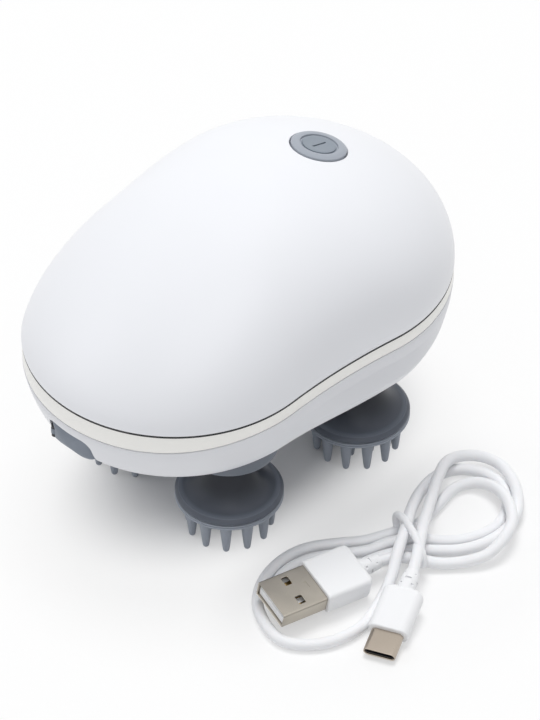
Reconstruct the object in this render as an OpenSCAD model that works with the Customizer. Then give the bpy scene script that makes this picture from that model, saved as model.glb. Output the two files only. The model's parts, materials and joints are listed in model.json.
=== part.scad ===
// Cordless scalp massager: a pebble-shaped body on four driven kneading heads,
// with its charging lead lying beside it. Millimetres, +Z up, +Y towards the power button.
// The origin is on the table, under the middle of the body; the prong tips stand on z = 0.

/* [Body] */
// Radius of the rounded front end, where the charging port is
front_r = 38.5; // [36:0.5:41]
// Radius of the rounded rear end, under the power button
rear_r = 38.7; // [36:0.5:41]
// Distance between the centres of the two round ends
lobe_gap = 41.8; // [38:0.2:46]
// Radius of the hollow waist between the two ends
waist_r = 176; // [120:2:300]
// Height of the dome above the seam
dome_h = 35.5; // [32:0.5:40]
// Height of the seam above the table
seam_z = 52.4; // [51:0.2:54]
// Wall of the two shells
wall = 2.2; // [1.8:0.1:2.6]
// Height of the cream trim band
band_h = 3.5; // [3:0.1:4]
// Height of the dark seam gasket
gasket_h = 0.4; // [0.3:0.1:0.6]
// Height of the straight upper tier of the lower shell
tier_h = 4.3; // [3.5:0.1:5]
// Height of the rounded tub of the lower shell
tub_h = 9.3; // [8.5:0.1:10]
// How far the rounded tub draws in at the base
tub_in = 5.5; // [5:0.1:6.4]
// How far the tub swells past the waist
belly = 3; // [2:0.1:3.4]

/* [Heads] */
// Radius of a kneading head over its rim
head_r = 13.9; // [13:0.1:15]
// Height of the widest rim of a head
rim_z = 11.3; // [10.5:0.1:12]
// Number of prongs in the outer ring of a head
outer_prongs = 12; // [10:1:14]
// Radius of the outer ring of prongs
prong_ring_r = 10.4; // [10:0.1:10.8]
// Radius of a prong where it leaves the pad
prong_r = 1.5; // [1.2:0.1:1.6]
// Radius of a prong's round tip
tip_r = 0.85; // [0.5:0.05:0.9]
// Radius of the fixed collar above a head
collar_r = 12.6; // [11.5:0.1:13]
// Drop of the fixed collar below the base
collar_drop = 7.3; // [6:0.1:8]
// Radius of a head's steel spindle
spindle_r = 2; // [1.8:0.1:2.4]
// Running clearance round a shaft
run = 0.05; // [0.02:0.01:0.08]

/* [Gears] */
// Module of the head gears and the sun
head_module = 0.8; // [0.75:0.05:0.85]
// Teeth of the central sun
sun_teeth = 36; // [34:1:38]
// Teeth of each head gear
head_teeth = 36; // [34:1:38]
// Bearing of the front and rear heads from the cross line
head_bearing = 50; // [48:1:52]
// How far the gear train sits behind the middle of the body
train_y = 1.3; // [0:0.1:2]
// Face width of the head gears
gear_w = 4; // [3:0.2:4.6]
// Module of the reduction gears
fine_module = 0.6; // [0.58:0.01:0.62]
// Teeth of the centre wheel
wheel_teeth = 42; // [40:1:44]
// Teeth of the reduction wheel
idler_teeth = 40; // [38:1:42]
// Teeth of the two pinions
pinion_teeth = 12; // [11:1:13]
// Play between meshing teeth
backlash = 0.12; // [0.1:0.01:0.16]
// Radius of the two gear axles
axle_r = 1.5; // [1.2:0.1:1.6]

/* [Drive and battery] */
// Radius of the motor can
motor_r = 12; // [10:0.5:12.5]
// Height of the motor can
motor_h = 12; // [9:0.5:12.5]
// Radius of the cell
cell_r = 9; // [7:0.5:9]
// Length of the cell
cell_l = 49; // [40:1:50]
// Thickness of the three gearbox plates
plate_t = 1.6; // [1.4:0.1:1.8]

/* [Power button] */
// Radius of the button
button_r = 7.1; // [6.5:0.1:8]
// Dark gap round the button
button_gap = 0.3; // [0.2:0.05:0.5]
// Travel of the button
button_travel = 0.8; // [0.5:0.1:1]
// Distance of the button behind the middle of the body
button_y = 26.8; // [25:0.2:28]
// Lean of the button to the rear
button_lean = 15; // [13:1:17]

/* [Charging port] */
// Width of the rubber cover
cover_w = 14; // [13.5:0.5:15]
// Height of the rubber cover
cover_h = 7.4; // [7:0.1:7.6]
// Thickness of the rubber cover
cover_t = 1.5; // [1.2:0.1:1.8]
// Gap round the cover
cover_gap = 0.3; // [0.2:0.05:0.4]
// Height of the charging socket above the table
port_z = 40.3; // [40.2:0.1:40.5]
// Radius of the cover's hinge pin
cover_pin_r = 0.5; // [0.4:0.05:0.6]
// Width of the charging socket's mouth
socket_w = 9; // [8.6:0.1:9.4]
// Height of the charging socket's mouth
socket_h = 3.2; // [3:0.1:3.4]

/* [Charging lead] */
// Diameter of the cable
cable_d = 3; // [2.6:0.1:3.1]
// Width of the wide plug's metal shell
wide_w = 12; // [11.8:0.1:12.2]
// Height of the wide plug's metal shell
wide_h = 4.5; // [4.3:0.1:4.6]
// Length of the wide plug's metal shell
wide_l = 13; // [12:0.2:14]
// Width of the small plug's metal shell
small_w = 8.3; // [8.1:0.1:8.5]
// Height of the small plug's metal shell
small_h = 2.6; // [2.4:0.1:2.8]
// Length of the small plug's metal shell
small_l = 6.6; // [6:0.2:7]
// Length of each plug's grip
grip_l = 13.2; // [12:0.2:14]
// Length of each strain relief
relief_l = 6; // [5:0.2:6.4]
// Radius of a strain relief where it meets its grip
relief_r = 2.3; // [2:0.1:2.5]
// Radius of the tie round the bundle
tie_r = 0.8; // [0.6:0.1:1]

/* [Hidden] */
$fn = 48;

// outline of the body in plan: two round ends and two hollow waist arcs
front_y = -lobe_gap / 2 + (front_r - rear_r) / 2;
rear_y = front_y + lobe_gap;
front_reach = front_r + waist_r;
rear_reach = rear_r + waist_r;
waist_y = ((front_reach * front_reach - rear_reach * rear_reach)
    - (front_y * front_y - rear_y * rear_y)) / (2 * (rear_y - front_y));
waist_x = sqrt(front_reach * front_reach - (waist_y - front_y) * (waist_y - front_y));
rear_end = atan2(waist_x, waist_y - rear_y);
front_start = atan2(waist_x, waist_y - front_y);
end_steps = 13;
waist_steps = 5;

// dome: every level is the outline, blended towards an oval and drawn in to the crown
oval_x = 45.4 - 38.6 + (front_r + rear_r) / 2;
oval_y = 57.2 - 59.5 + (front_r + rear_r + lobe_gap) / 2;
dome_y = 14.5;
crown_back = -5.9;
oval_blend = 0.88;
level_in_x = 2.04;
level_out_x = 2.03;
level_in_y = 1.67;
level_out_y = 1.9;
dome_steps = 13;
crown_step = 86;

// lower shell levels
band_z = seam_z - gasket_h - band_h;
crease_z = band_z - tier_h;
base_z = crease_z - tub_h;
floor_z = base_z + wall;
tier_in = 0.42;
tub_bend = 0.42;
inner_draw = 1.6;
inner_bend = 0.3;
tub_steps = 7;
belly_y = 9.5;
belly_span = 22.5;
lip_gap = 0.1;
lip_h = 2;
lip_t = 1.4;
far = 3 * front_r;

// heads, and how far round each one stands at rest: front right, front left, rear right, rear left
prong_turns = [13, 22, 2, 8];
head_gap = head_module * (sun_teeth + head_teeth) / 2;
head_x = head_gap * cos(head_bearing);
head_y = head_gap * sin(head_bearing);
collar_z = base_z - collar_drop;
collar_wall = 1.6;
hub_r = 6;
bush_r = 4;
bush_flange_r = 5.2;
bush_flange_h = 0.8;
seal_h = 1.4;
stem_top_z = collar_z - 0.8;
stem_r = 5.4;
plate_edge_h = 2.6;
pad_z = rim_z - 1.9;
rim_step = 0.35;
inner_prongs = 6;

// gearbox levels
chassis_z = floor_z;
gear_z = chassis_z + plate_t + 0.9;
deck_z = gear_z + gear_w + 1;
idler_z = deck_z + plate_t + 0.5;
idler_w = 1.8;
wheel_w = 2.8;
wheel_z = idler_z + idler_w + 0.3;
motor_deck_z = wheel_z + wheel_w + 0.8;
spindle_top_z = deck_z + plate_t;
idler_y = train_y + fine_module * (wheel_teeth + pinion_teeth) / 2;
motor_y = idler_y + fine_module * (idler_teeth + pinion_teeth) / 2;
post_r = 2.4;
cell_y = front_y - 4;
cell_z = deck_z + plate_t + 1 + cell_r;
cradle_w = 8;
screw_r = 1.3;
screw_head_r = 2.6;
screw_head_h = 1.8;
boss_r = 3.2;
front_screw_y = front_y - front_r + 17;
rear_screw_y = rear_y + rear_r - 14.5;
screw_spots = [[17, front_screw_y], [-17, front_screw_y], [14, rear_screw_y], [-14, rear_screw_y]];
deck_posts = [[29, train_y], [-29, train_y], [0, front_screw_y + 9.5], [0, rear_screw_y + 0.5]];
motor_posts = [[16.5, train_y - 5.3], [-16.5, train_y - 5.3],
    [16.5, rear_screw_y - 7], [-16.5, rear_screw_y - 7]];

// power button, in its own leaning frame with z = 0 at its face
button_z = 85.5 + dome_h - 35.5 + seam_z - 52.4;
sleeve_wall = 1.5;
sleeve_top = -1.4;
sleeve_end = -7;
flange_h = 1;
flange_out = 0.9;
stop_gap = 0.15;
button_proud = 0.3;
stem_drop = 1;
ring_r = 4.55;
ring_w = 0.5;
mark_l = 4.6;
mark_w = 0.5;
groove_d = 0.3;
board_top = -14;
board_t = 1.2;
switch_w = 6;
switch_h = 3.4;
plunger_r = 1.6;
board_w = 28;
board_l = 12;
board_post_r = 2;
board_post_x = 11.8;

// charging port: its cover is a pillow, a ring about the front centre trimmed by an upright cylinder
bulge_r = 6.8;
bulge_mid = front_r - 7.5;
pillow_r = 14;
pillow_y = front_y - bulge_mid - bulge_r + pillow_r;
lens_z = base_z + 1 + cover_h / 2;
bulge_z = lens_z + 0.2;
lens_top_r = 2.4;
lens_low_r = 1.4;
lens_low_in = 0.3;
port_x = 1.5;
hinge_z = lens_z - 0.5;
hinge_r = 0.95;
hinge_x = port_x - (cover_w / 2 - 0.9);
hinge_y = pillow_y - sqrt(pillow_r * pillow_r - hinge_x * hinge_x) + 0.65;
pocket_r = 1.5;
pocket_h = 4.2;
knuckle_h = 1.6;
lug_h = 0.8;
lug_gap = 0.1;
port_face_y = front_y - front_r + 4;
port_back_y = front_y - front_r + 8;
board_y = front_y - front_r + 10.5;
main_board_w = 17;
main_board_l = 11;
main_board_t = 1.2;
socket_l = 8.6;
socket_wall = 0.4;

// charging lead: route of the cable from the wide plug to the small plug
lead_route = [
    [57.5, -6.6, 4.7], [59.3, -1.5, 4.1], [62.5, 2.5, 3.2], [66.5, 6.5, 1.8],
    [70.5, 11.5, 2], [73.2, 16.5, 3.1], [73.2, 22, 4.8], [70.5, 27.9, 5.4],
    [64.5, 32.4, 5.3], [57.5, 34.9, 3.4], [52, 33.5, 2.2], [49.5, 29, 1.6],
    [50.5, 23, 1.6], [52, 17, 1.6], [52.6, 12, 1.6], [51.8, 7.5, 2.4],
    [50, 3, 2], [48, -1.2, 1.6], [44.5, -6.2, 1.5], [41, -11.5, 1.5],
    [39, -17, 1.5], [39, -23.5, 1.5], [41, -30, 1.5], [45.5, -36, 1.5],
    [52, -39.5, 1.5], [59, -40.5, 1.5], [64.5, -37, 1.5], [68, -31, 1.5],
    [69, -23, 1.5], [66.5, -14.5, 2.1], [63.6, -7.5, 4.4], [60.2, -2.1, 7.1],
    [56.2, 4.4, 7.9], [50.8, 11.9, 6.4], [45.8, 20.3, 3.7], [43.2, 28.3, 1.7],
    [45, 34.2, 1.5], [50.2, 37.9, 1.5], [56.4, 38.3, 1.5], [62, 35, 1.5],
    [65.6, 29.8, 1.5], [66.4, 23.8, 1.5], [64.7, 17.9, 1.5], [61.8, 13.5, 1.6],
    [58.5, 9.5, 2.4], [55.5, 5.5, 3.1], [52.8, 1.2, 2.5], [51, -3, 1.6],
    [48.2, -7.8, 1.6], [44.8, -12.8, 1.5], [42.6, -18, 1.5], [42.4, -24, 1.5],
    [44, -28.5, 1.5], [47, -31.6, 1.5], [50.6, -31, 1.5], [52.6, -27, 1.5],
    [53, -21, 1.5], [53, -14, 1.6], [53.5, -7, 1.6], [56, -1, 2.4],
    [59.5, 4.5, 2.8], [63, 9.5, 1.8], [66.4, 13.9, 1.6], [68.8, 19.2, 1.8],
    [69.6, 25.3, 2.1], [68.5, 30.5, 2.5], [65.6, 35.2, 3], [60.1, 39.3, 3.6],
    [53.2, 41.7, 3.6], [46.9, 40.7, 3.2], [43.5, 36.2, 3.8], [43.8, 30.8, 5.1],
    [46.6, 25.3, 5.3], [50.8, 19, 5.8], [56, 11.5, 6.8], [61, 5, 7.8],
    [65, -0.2, 7.4], [67.7, -4.3, 6.5]];
cable_sides = 8;
wide_at = [52, -37.8, 6.7];
wide_turn = [-3.6, 9, -10];
wide_grip_w = 13.6;
wide_grip_h = 6.4;
small_at = [79, -26.5, 1.65];
small_turn = [11, 0, 27];
small_grip_w = 10.4;
small_grip_h = 5;
plug_wall = 0.35;
tongue_t = 1.8;
cable_r = cable_d / 2;
tie_at = [57.8, 4.4, 5.3];
tie_turn = -20;
tie_half = 8.6;
tie_half_h = 4.4;

// ---- plan outline -------------------------------------------------------------

// one side of the outline, from the rear pole round to the front pole, drawn in by an inset
function outline_side(inset) = concat(
    [for (i = [0 : end_steps - 1]) let (a = rear_end * i / end_steps, r = rear_r - inset)
        [r * sin(a), rear_y + r * cos(a)]],
    [for (i = [0 : waist_steps - 1]) let (r = waist_r + inset,
        a = rear_end + (front_start - rear_end) * i / waist_steps)
        [waist_x - r * sin(a), waist_y - r * cos(a)]],
    [for (i = [0 : end_steps]) let (r = front_r - inset,
        a = front_start + (180 - front_start) * i / end_steps)
        [r * sin(a), front_y + r * cos(a)]]);

function mirrored(side) = concat(side,
    [for (i = [len(side) - 2 : -1 : 1]) [-side[i][0], side[i][1]]]);

function outline(inset) = mirrored(outline_side(inset));

function swell(y) = belly * exp(-pow((y - belly_y) / belly_span, 2));

// the tub's outline: the same, swelling out over the waist by a share of the belly
function tub_outline(inset, share) = mirrored([for (p = outline_side(inset))
    [p[0] + swell(p[1]) * min(1, p[0] / 6) * share, p[1]]]);

function raise(loop, z) = [for (p = loop) [p[0], p[1], z]];

// ---- dome ---------------------------------------------------------------------

function dome_level(t, inset, rise) = [for (p = outline(inset))
    let (v = [p[0], p[1] - dome_y],
        f = atan2(v[0] / (oval_x - inset), v[1] / (oval_y - inset)),
        along = cos(f) * cos(f),
        draw = pow(1 - pow(t, level_in_x), 1 / level_out_x) * (1 - along)
            + pow(1 - pow(t, level_in_y), 1 / level_out_y) * along,
        w = oval_blend * t)
    [draw * ((1 - w) * v[0] + w * (oval_x - inset) * sin(f)),
        draw * ((1 - w) * v[1] + w * (oval_y - inset) * cos(f)) + dome_y + crown_back * t,
        seam_z + rise * t]];

function dome_rings(inset, rise, from) = [for (i = [from : dome_steps])
    dome_level(sin(crown_step * i / dome_steps), inset, rise)];

function backwards(rings) = [for (i = [len(rings) - 1 : -1 : 0]) rings[i]];

// a closed skin over a list of equal rings, the first and last capped
module skin(rings) {
    n = len(rings[0]);
    last = len(rings) - 1;
    polyhedron(
        points = [for (ring = rings) for (p = ring) p],
        faces = concat(
            [[for (k = [0 : n - 1]) k]],
            [for (i = [0 : last - 1]) for (k = [0 : n - 1]) let (j = (k + 1) % n)
                [i * n + k, (i + 1) * n + k, (i + 1) * n + j]],
            [for (i = [0 : last - 1]) for (k = [0 : n - 1]) let (j = (k + 1) % n)
                [i * n + k, (i + 1) * n + j, i * n + j]],
            [[for (k = [n - 1 : -1 : 0]) last * n + k]]),
        convexity = 10);
}

module solid_dome(inset, under = 0) {
    skin(concat(backwards(dome_rings(inset, dome_h - inset, 0)),
        under > 0 ? [raise(outline(inset), seam_z - under)] : []));
}

module button_frame() {
    translate([0, button_y, button_z]) rotate([-button_lean, 0, 0]) children();
}

module top_shell() {
    color("whitesmoke") difference() {
        union() {
            difference() {
                solid_dome(0);
                solid_dome(wall, 1);
            }
            intersection() {
                union() {
                    button_frame() translate([0, 0, sleeve_end])
                        cylinder(h = sleeve_top - sleeve_end, r = button_r + button_gap + sleeve_wall);
                    button_frame() for (s = [-1, 1]) translate([s * board_post_x, 0, board_top])
                        cylinder(h = -board_top, r = board_post_r);
                    for (p = screw_spots) translate([p[0], p[1], seam_z])
                        cylinder(h = dome_h, r = boss_r);
                }
                solid_dome(wall / 2);
            }
        }
        button_frame() translate([0, 0, sleeve_end - 1])
            cylinder(h = 12, r = button_r + button_gap);
        for (p = screw_spots) translate([p[0], p[1], seam_z - 1]) cylinder(h = 6, r = screw_r);
    }
}

// ---- seam, band and lower shell -------------------------------------------------

module plan_ring(z, h, outer, inner) {
    translate([0, 0, z]) linear_extrude(h) difference() {
        polygon(outline(outer));
        polygon(outline(inner));
    }
}

module seam_gasket() {
    color([0.08, 0.08, 0.09]) plan_ring(seam_z - gasket_h, gasket_h, 0.7, wall);
}

module trim_band() {
    color([0.95, 0.94, 0.89]) plan_ring(band_z, band_h, 0.05, wall);
}

// the lower shell's levels: a straight tier, then the tub drawing in to the base
function lower_rings(inset, draw, bend) = concat(
    [raise(outline(inset), band_z), raise(outline(inset + tier_in), crease_z)],
    [for (i = [1 : tub_steps]) let (u = sin(90 * i / tub_steps))
        raise(tub_outline(inset + tier_in + draw * (1 - pow(1 - min(u, 1), bend)), min(1, 2 * u)),
            crease_z - (tub_h - inset) * u)]);

// a ring on the straight line from the seam to the dome's first level
function dome_foot(inset, up) = let (
    low = dome_level(0, inset, dome_h - inset),
    high = dome_level(sin(crown_step / dome_steps), inset, dome_h - inset),
    share = up / (high[0][2] - low[0][2]))
    [for (i = [0 : len(low) - 1]) low[i] + (high[i] - low[i]) * share];

module lip_core(inset, down, up) {
    skin([dome_foot(inset, up), raise(outline(inset), seam_z), raise(outline(inset), band_z - 2 - down)]);
}

// the outline of the port, run forward from the middle of the body
module port_lens(grow) {
    translate([port_x, 0, lens_z]) rotate([90, 0, 0]) linear_extrude(far) hull() for (s = [-1, 1]) {
        translate([s * (cover_w / 2 - lens_top_r), cover_h / 2 - lens_top_r]) circle(lens_top_r + grow);
        translate([s * (cover_w / 2 - lens_low_in - lens_low_r), lens_low_r - cover_h / 2])
            circle(lens_low_r + grow);
    }
}

module lower_shell() {
    color("gainsboro") difference() {
        union() {
            difference() {
                skin(lower_rings(0, tub_in, tub_bend));
                difference() {
                    skin(concat([raise(outline(wall), band_z + 1)],
                        lower_rings(wall, tub_in - inner_draw, inner_bend)));
                    for (p = screw_spots) translate([p[0], p[1], 0]) cylinder(h = seam_z, r = boss_r);
                }
            }
            difference() {
                lip_core(wall + lip_gap, 0, lip_h);
                lip_core(wall + lip_t, 1, lip_h + 1);
            }
            for (p = screw_spots) translate([p[0], p[1], band_z - 1])
                cylinder(h = seam_z - band_z + 1, r = boss_r);
        }
        for (p = screw_spots) translate([p[0], p[1], 0]) {
            cylinder(h = far, r = screw_r + 0.3);
            cylinder(h = base_z + 1 + screw_head_h, r = screw_head_r + 0.2);
        }
        for (sx = [-1, 1], sy = [-1, 1]) translate([sx * head_x, train_y + sy * head_y, 0])
            cylinder(h = far, r = bush_r);
        intersection() {
            port_lens(cover_gap);
            translate([-far / 2, port_back_y - far, 0]) cube(far);
        }
        hinge_line(hinge_z - pocket_h / 2, pocket_h, pocket_r);
    }
}

// ---- power button ---------------------------------------------------------------

module power_button() {
    color([0.47, 0.51, 0.57]) button_frame() difference() {
        union() {
            translate([0, 0, sleeve_end - 0.5])
                cylinder(h = button_proud - 0.4 - sleeve_end + 0.5, r = button_r);
            translate([0, 0, button_proud - 0.4]) cylinder(h = 0.4, r1 = button_r, r2 = button_r - 0.5);
            translate([0, 0, sleeve_end - stop_gap - flange_h])
                cylinder(h = flange_h, r = button_r + flange_out);
            translate([0, 0, sleeve_end - stop_gap - flange_h - stem_drop])
                cylinder(h = stem_drop + 0.1, r = plunger_r);
        }
        translate([0, 0, button_proud - groove_d]) difference() {
            cylinder(h = 1, r = ring_r + ring_w / 2);
            translate([0, 0, -1]) cylinder(h = 3, r = ring_r - ring_w / 2);
        }
        translate([0, 0, button_proud]) cube([mark_w, mark_l, 2 * groove_d], center = true);
    }
}

module switch_board() {
    color("darkgreen") button_frame() translate([0, 0, board_top - board_t / 2])
        cube([board_w, board_l, board_t], center = true);
}

module power_switch() {
    top = sleeve_end - stop_gap - flange_h - stem_drop - button_travel - 0.02;
    color("dimgray") button_frame() union() {
        translate([0, 0, board_top + (switch_h - 1) / 2])
            cube([switch_w, switch_w, switch_h - 1], center = true);
        translate([0, 0, board_top]) cylinder(h = top - board_top, r = plunger_r);
    }
}

// ---- charging port ----------------------------------------------------------------

// the solid under the cover's pillow surface, drawn in by a depth
module pillow(depth) {
    intersection() {
        translate([0, front_y, bulge_z]) rotate_extrude() translate([bulge_mid, 0]) circle(bulge_r - depth);
        translate([0, pillow_y, 0]) cylinder(h = seam_z, r = pillow_r - depth);
    }
}

module hinge_line(z, h, r) {
    translate([hinge_x, hinge_y, z]) cylinder(h = h, r = r);
}

module port_cover() {
    color([0.46, 0.49, 0.55]) difference() {
        union() {
            intersection() {
                port_lens(0);
                difference() {
                    pillow(0);
                    pillow(cover_t);
                }
                translate([hinge_x, port_back_y - far, 0]) cube(far);
            }
            hinge_line(hinge_z - knuckle_h / 2, knuckle_h, hinge_r);
        }
        hinge_line(hinge_z - 10, 20, cover_pin_r + run);
        for (s = [-1, 1]) hinge_line(hinge_z + s * (knuckle_h / 2 + 5) - 5, 10, hinge_r + 0.25);
    }
}

module cover_pin() {
    h = knuckle_h + 2 * lug_gap + 2 * lug_h;
    color("silver") hinge_line(hinge_z - h / 2, h, cover_pin_r);
}

module slot(w, h, l) {
    rotate([90, 0, 0]) linear_extrude(l) hull() {
        for (s = [-1, 1]) translate([s * (w - h) / 2, 0]) circle(h / 2);
    }
}

module port_frame() {
    color([0.2, 0.21, 0.23]) difference() {
        union() {
            intersection() {
                port_lens(cover_gap - 0.05);
                pillow(cover_t + 0.2);
                translate([-far / 2, port_face_y, 0]) cube([far, port_back_y - 0.05 - port_face_y, far]);
            }
            for (s = [-1, 1]) translate([0, 0, hinge_z + s * (knuckle_h / 2 + lug_gap + lug_h / 2)]) {
                translate([hinge_x, hinge_y, -lug_h / 2]) cylinder(h = lug_h, r = hinge_r - 0.1);
                translate([hinge_x - hinge_r + 0.1, hinge_y, -lug_h / 2])
                    cube([hinge_r - 0.1, port_back_y - 1.5 - hinge_y, lug_h]);
            }
        }
        hinge_line(hinge_z - knuckle_h / 2 - lug_gap, knuckle_h + 2 * lug_gap, hinge_r + 0.3);
        hinge_line(hinge_z - 10, 20, cover_pin_r);
        translate([port_x, port_back_y + 1, port_z])
            slot(socket_w + 2 * socket_wall, socket_h + 2 * socket_wall, 20);
    }
}

module charge_socket() {
    color("silver") difference() {
        translate([port_x, port_face_y + socket_l, port_z])
            slot(socket_w + 2 * socket_wall, socket_h + 2 * socket_wall, socket_l);
        translate([port_x, port_face_y + socket_l - 1, port_z]) difference() {
            slot(socket_w, socket_h, socket_l);
            translate([-3.3, -socket_l + 1, -0.35]) cube([6.6, socket_l, 0.7]);
        }
    }
}

module main_board() {
    top = port_z - socket_h / 2 - socket_wall;
    color("darkgreen") union() {
        translate([-main_board_w / 2, board_y, top - main_board_t])
            cube([main_board_w, main_board_l, main_board_t]);
        for (s = [-1, 1]) translate([s * 6.5 - 1.3, board_y + 3, top - 0.1]) cube([2.6, 5, 1.6]);
    }
}

// ---- gears ------------------------------------------------------------------------

pressure = 25;
function roll(a) = tan(a) * 180 / PI - a;
function half_tooth(r, m, z) = let (pitch = m * z / 2, base = pitch * cos(pressure))
    90 / z - backlash / 2 / pitch * 180 / PI + roll(pressure) - roll(acos(min(1, base / r)));

// plan of a spur gear with its first tooth on +X
module gear_plan(m, z) {
    pitch = m * z / 2;
    base = pitch * cos(pressure);
    root = pitch - 1.25 * m;
    tip = pitch + 0.95 * m;
    flank = [max(base, root), pitch, tip];
    foot = half_tooth(flank[0], m, z);
    polygon([for (k = [0 : z - 1]) for (p = concat(
        base > root ? [[root, -foot]] : [],
        [for (r = flank) [r, -half_tooth(r, m, z)]],
        [for (i = [2 : -1 : 0]) [flank[i], half_tooth(flank[i], m, z)]],
        base > root ? [[root, foot]] : []))
        p[0] * [cos(360 * k / z + p[1]), sin(360 * k / z + p[1])]]);
}

// turn of a gear so that its teeth meet those of a neighbour seen along a bearing
function mesh_turn(bearing, teeth, turn, own) =
    bearing + 180 - (0.5 - (bearing - turn) * teeth / 360) * 360 / own;

module spur(m, z, h, turn) {
    rotate(turn) linear_extrude(h) gear_plan(m, z);
}

module at_head(sx, sy) {
    translate([sx * head_x, train_y + sy * head_y, 0]) children();
}

module head_gear(sx, sy) {
    bearing = atan2(sy * head_y, sx * head_x);
    color("ivory") at_head(sx, sy) difference() {
        union() {
            translate([0, 0, gear_z]) spur(head_module, head_teeth, gear_w,
                mesh_turn(bearing, sun_teeth, 0, head_teeth));
            translate([0, 0, gear_z + gear_w - 0.1]) cylinder(h = 0.8, r = spindle_r + 2);
        }
        translate([0, 0, gear_z - 1]) cylinder(h = 10, r = spindle_r);
    }
}

wheel_turn = 0;
idler_turn = mesh_turn(90, wheel_teeth, wheel_turn, pinion_teeth);
idler_wheel_turn = 0;
motor_turn = mesh_turn(90, idler_teeth, idler_wheel_turn, pinion_teeth);

module centre_gear() {
    color("ivory") translate([0, train_y, 0]) difference() {
        union() {
            translate([0, 0, gear_z]) spur(head_module, sun_teeth, gear_w, 0);
            translate([0, 0, gear_z + gear_w - 0.1])
                cylinder(h = wheel_z - gear_z - gear_w + 0.2, r = axle_r + 1.4);
            translate([0, 0, wheel_z]) spur(fine_module, wheel_teeth, wheel_w, wheel_turn);
        }
        translate([0, 0, gear_z - 1]) cylinder(h = 40, r = axle_r + run);
    }
}

module reduction_gear() {
    color("ivory") translate([0, idler_y, 0]) difference() {
        union() {
            translate([0, 0, idler_z]) spur(fine_module, idler_teeth, idler_w, idler_wheel_turn);
            translate([0, 0, idler_z + idler_w - 0.1])
                spur(fine_module, pinion_teeth, wheel_z + wheel_w - idler_z - idler_w + 0.1, idler_turn);
        }
        translate([0, 0, idler_z - 1]) cylinder(h = 40, r = axle_r + run);
    }
}

module motor_pinion() {
    color("darkkhaki") translate([0, motor_y, 0]) union() {
        translate([0, 0, idler_z]) spur(fine_module, pinion_teeth, idler_w + 0.4, motor_turn);
        translate([0, 0, idler_z]) cylinder(h = motor_deck_z + plate_t + 2 - idler_z, r = 1);
    }
}

module centre_axle() {
    color("silver") translate([0, train_y, chassis_z])
        cylinder(h = motor_deck_z + plate_t - chassis_z, r = axle_r);
}

module reduction_axle() {
    color("silver") translate([0, idler_y, deck_z])
        cylinder(h = motor_deck_z + plate_t - deck_z, r = axle_r);
}

// ---- gearbox plates, motor and battery ----------------------------------------------

module plate_plan() {
    difference() {
        intersection() {
            polygon(outline(wall + tier_in + tub_in - inner_draw + 0.3));
            translate([-far / 2, front_screw_y + 6]) square([far, rear_screw_y - front_screw_y - 3.5]);
        }
        for (p = screw_spots) translate(p) circle(boss_r + 0.6);
    }
}

module gear_chassis() {
    color("dimgray") difference() {
        union() {
            translate([0, 0, chassis_z]) linear_extrude(plate_t) plate_plan();
            for (p = deck_posts) translate([p[0], p[1], chassis_z])
                cylinder(h = deck_z - chassis_z, r = post_r);
            translate([0, train_y, chassis_z]) cylinder(h = gear_z - chassis_z - 0.2, r = axle_r + 1.5);
        }
        translate([0, train_y, chassis_z - 1]) cylinder(h = 20, r = axle_r);
        for (sx = [-1, 1], sy = [-1, 1]) at_head(sx, sy) cylinder(h = far, r = bush_r);
    }
}

module gear_deck() {
    color("dimgray") difference() {
        union() {
            translate([0, 0, deck_z]) linear_extrude(plate_t) plate_plan();
            for (p = motor_posts) translate([p[0], p[1], deck_z])
                cylinder(h = motor_deck_z - deck_z, r = post_r);
        }
        translate([0, train_y, deck_z - 1]) cylinder(h = 20, r = axle_r + 2);
        translate([0, idler_y, deck_z - 1]) cylinder(h = 20, r = axle_r);
        for (sx = [-1, 1], sy = [-1, 1]) at_head(sx, sy) cylinder(h = far, r = spindle_r + run);
    }
}

module motor_deck() {
    color("gray") difference() {
        translate([0, 0, motor_deck_z]) linear_extrude(plate_t) hull() {
            for (p = motor_posts) translate(p) circle(post_r);
        }
        translate([0, train_y, motor_deck_z - 1]) cylinder(h = 20, r = axle_r);
        translate([0, idler_y, motor_deck_z - 1]) cylinder(h = 20, r = axle_r);
        translate([0, motor_y, motor_deck_z - 1]) cylinder(h = 20, r = 2.5);
    }
}

module motor_can() {
    color("silver") translate([0, motor_y, motor_deck_z + plate_t]) difference() {
        union() {
            cylinder(h = motor_h, r = motor_r);
            translate([0, 0, motor_h - 0.1]) cylinder(h = 1.1, r = 3);
        }
        translate([0, 0, -1]) cylinder(h = 1 + 2 + 0.1, r = 1 + run);
        translate([0, 0, -1]) cylinder(h = 1.6, r = 2.5);
    }
}

module battery_cell() {
    color("steelblue") translate([-cell_l / 2, cell_y, cell_z]) rotate([0, 90, 0]) union() {
        cylinder(h = cell_l, r = cell_r);
        translate([0, 0, cell_l]) cylinder(h = 1, r = 3);
    }
}

module battery_cradle() {
    low = deck_z + plate_t;
    color("dimgray") difference() {
        for (s = [-1, 1]) translate([s * cell_l / 4 - cradle_w / 2, cell_y - cell_r - 0.5, low])
            cube([cradle_w, 2 * cell_r + 1, cell_r * 0.7]);
        translate([-cell_l, cell_y, cell_z]) rotate([0, 90, 0]) cylinder(h = 2 * cell_l, r = cell_r);
    }
}

module case_screws() {
    color("silver") for (p = screw_spots) translate([p[0], p[1], base_z + 1]) union() {
        cylinder(h = screw_head_h, r = screw_head_r);
        cylinder(h = seam_z + 5 - base_z - 1, r = screw_r);
    }
}

// ---- kneading heads -------------------------------------------------------------------

module spindle(sx, sy) {
    low = rim_z + 1;
    color("silver") at_head(sx, sy) translate([0, 0, low]) cylinder(h = spindle_top_z - low, r = spindle_r);
}

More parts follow.
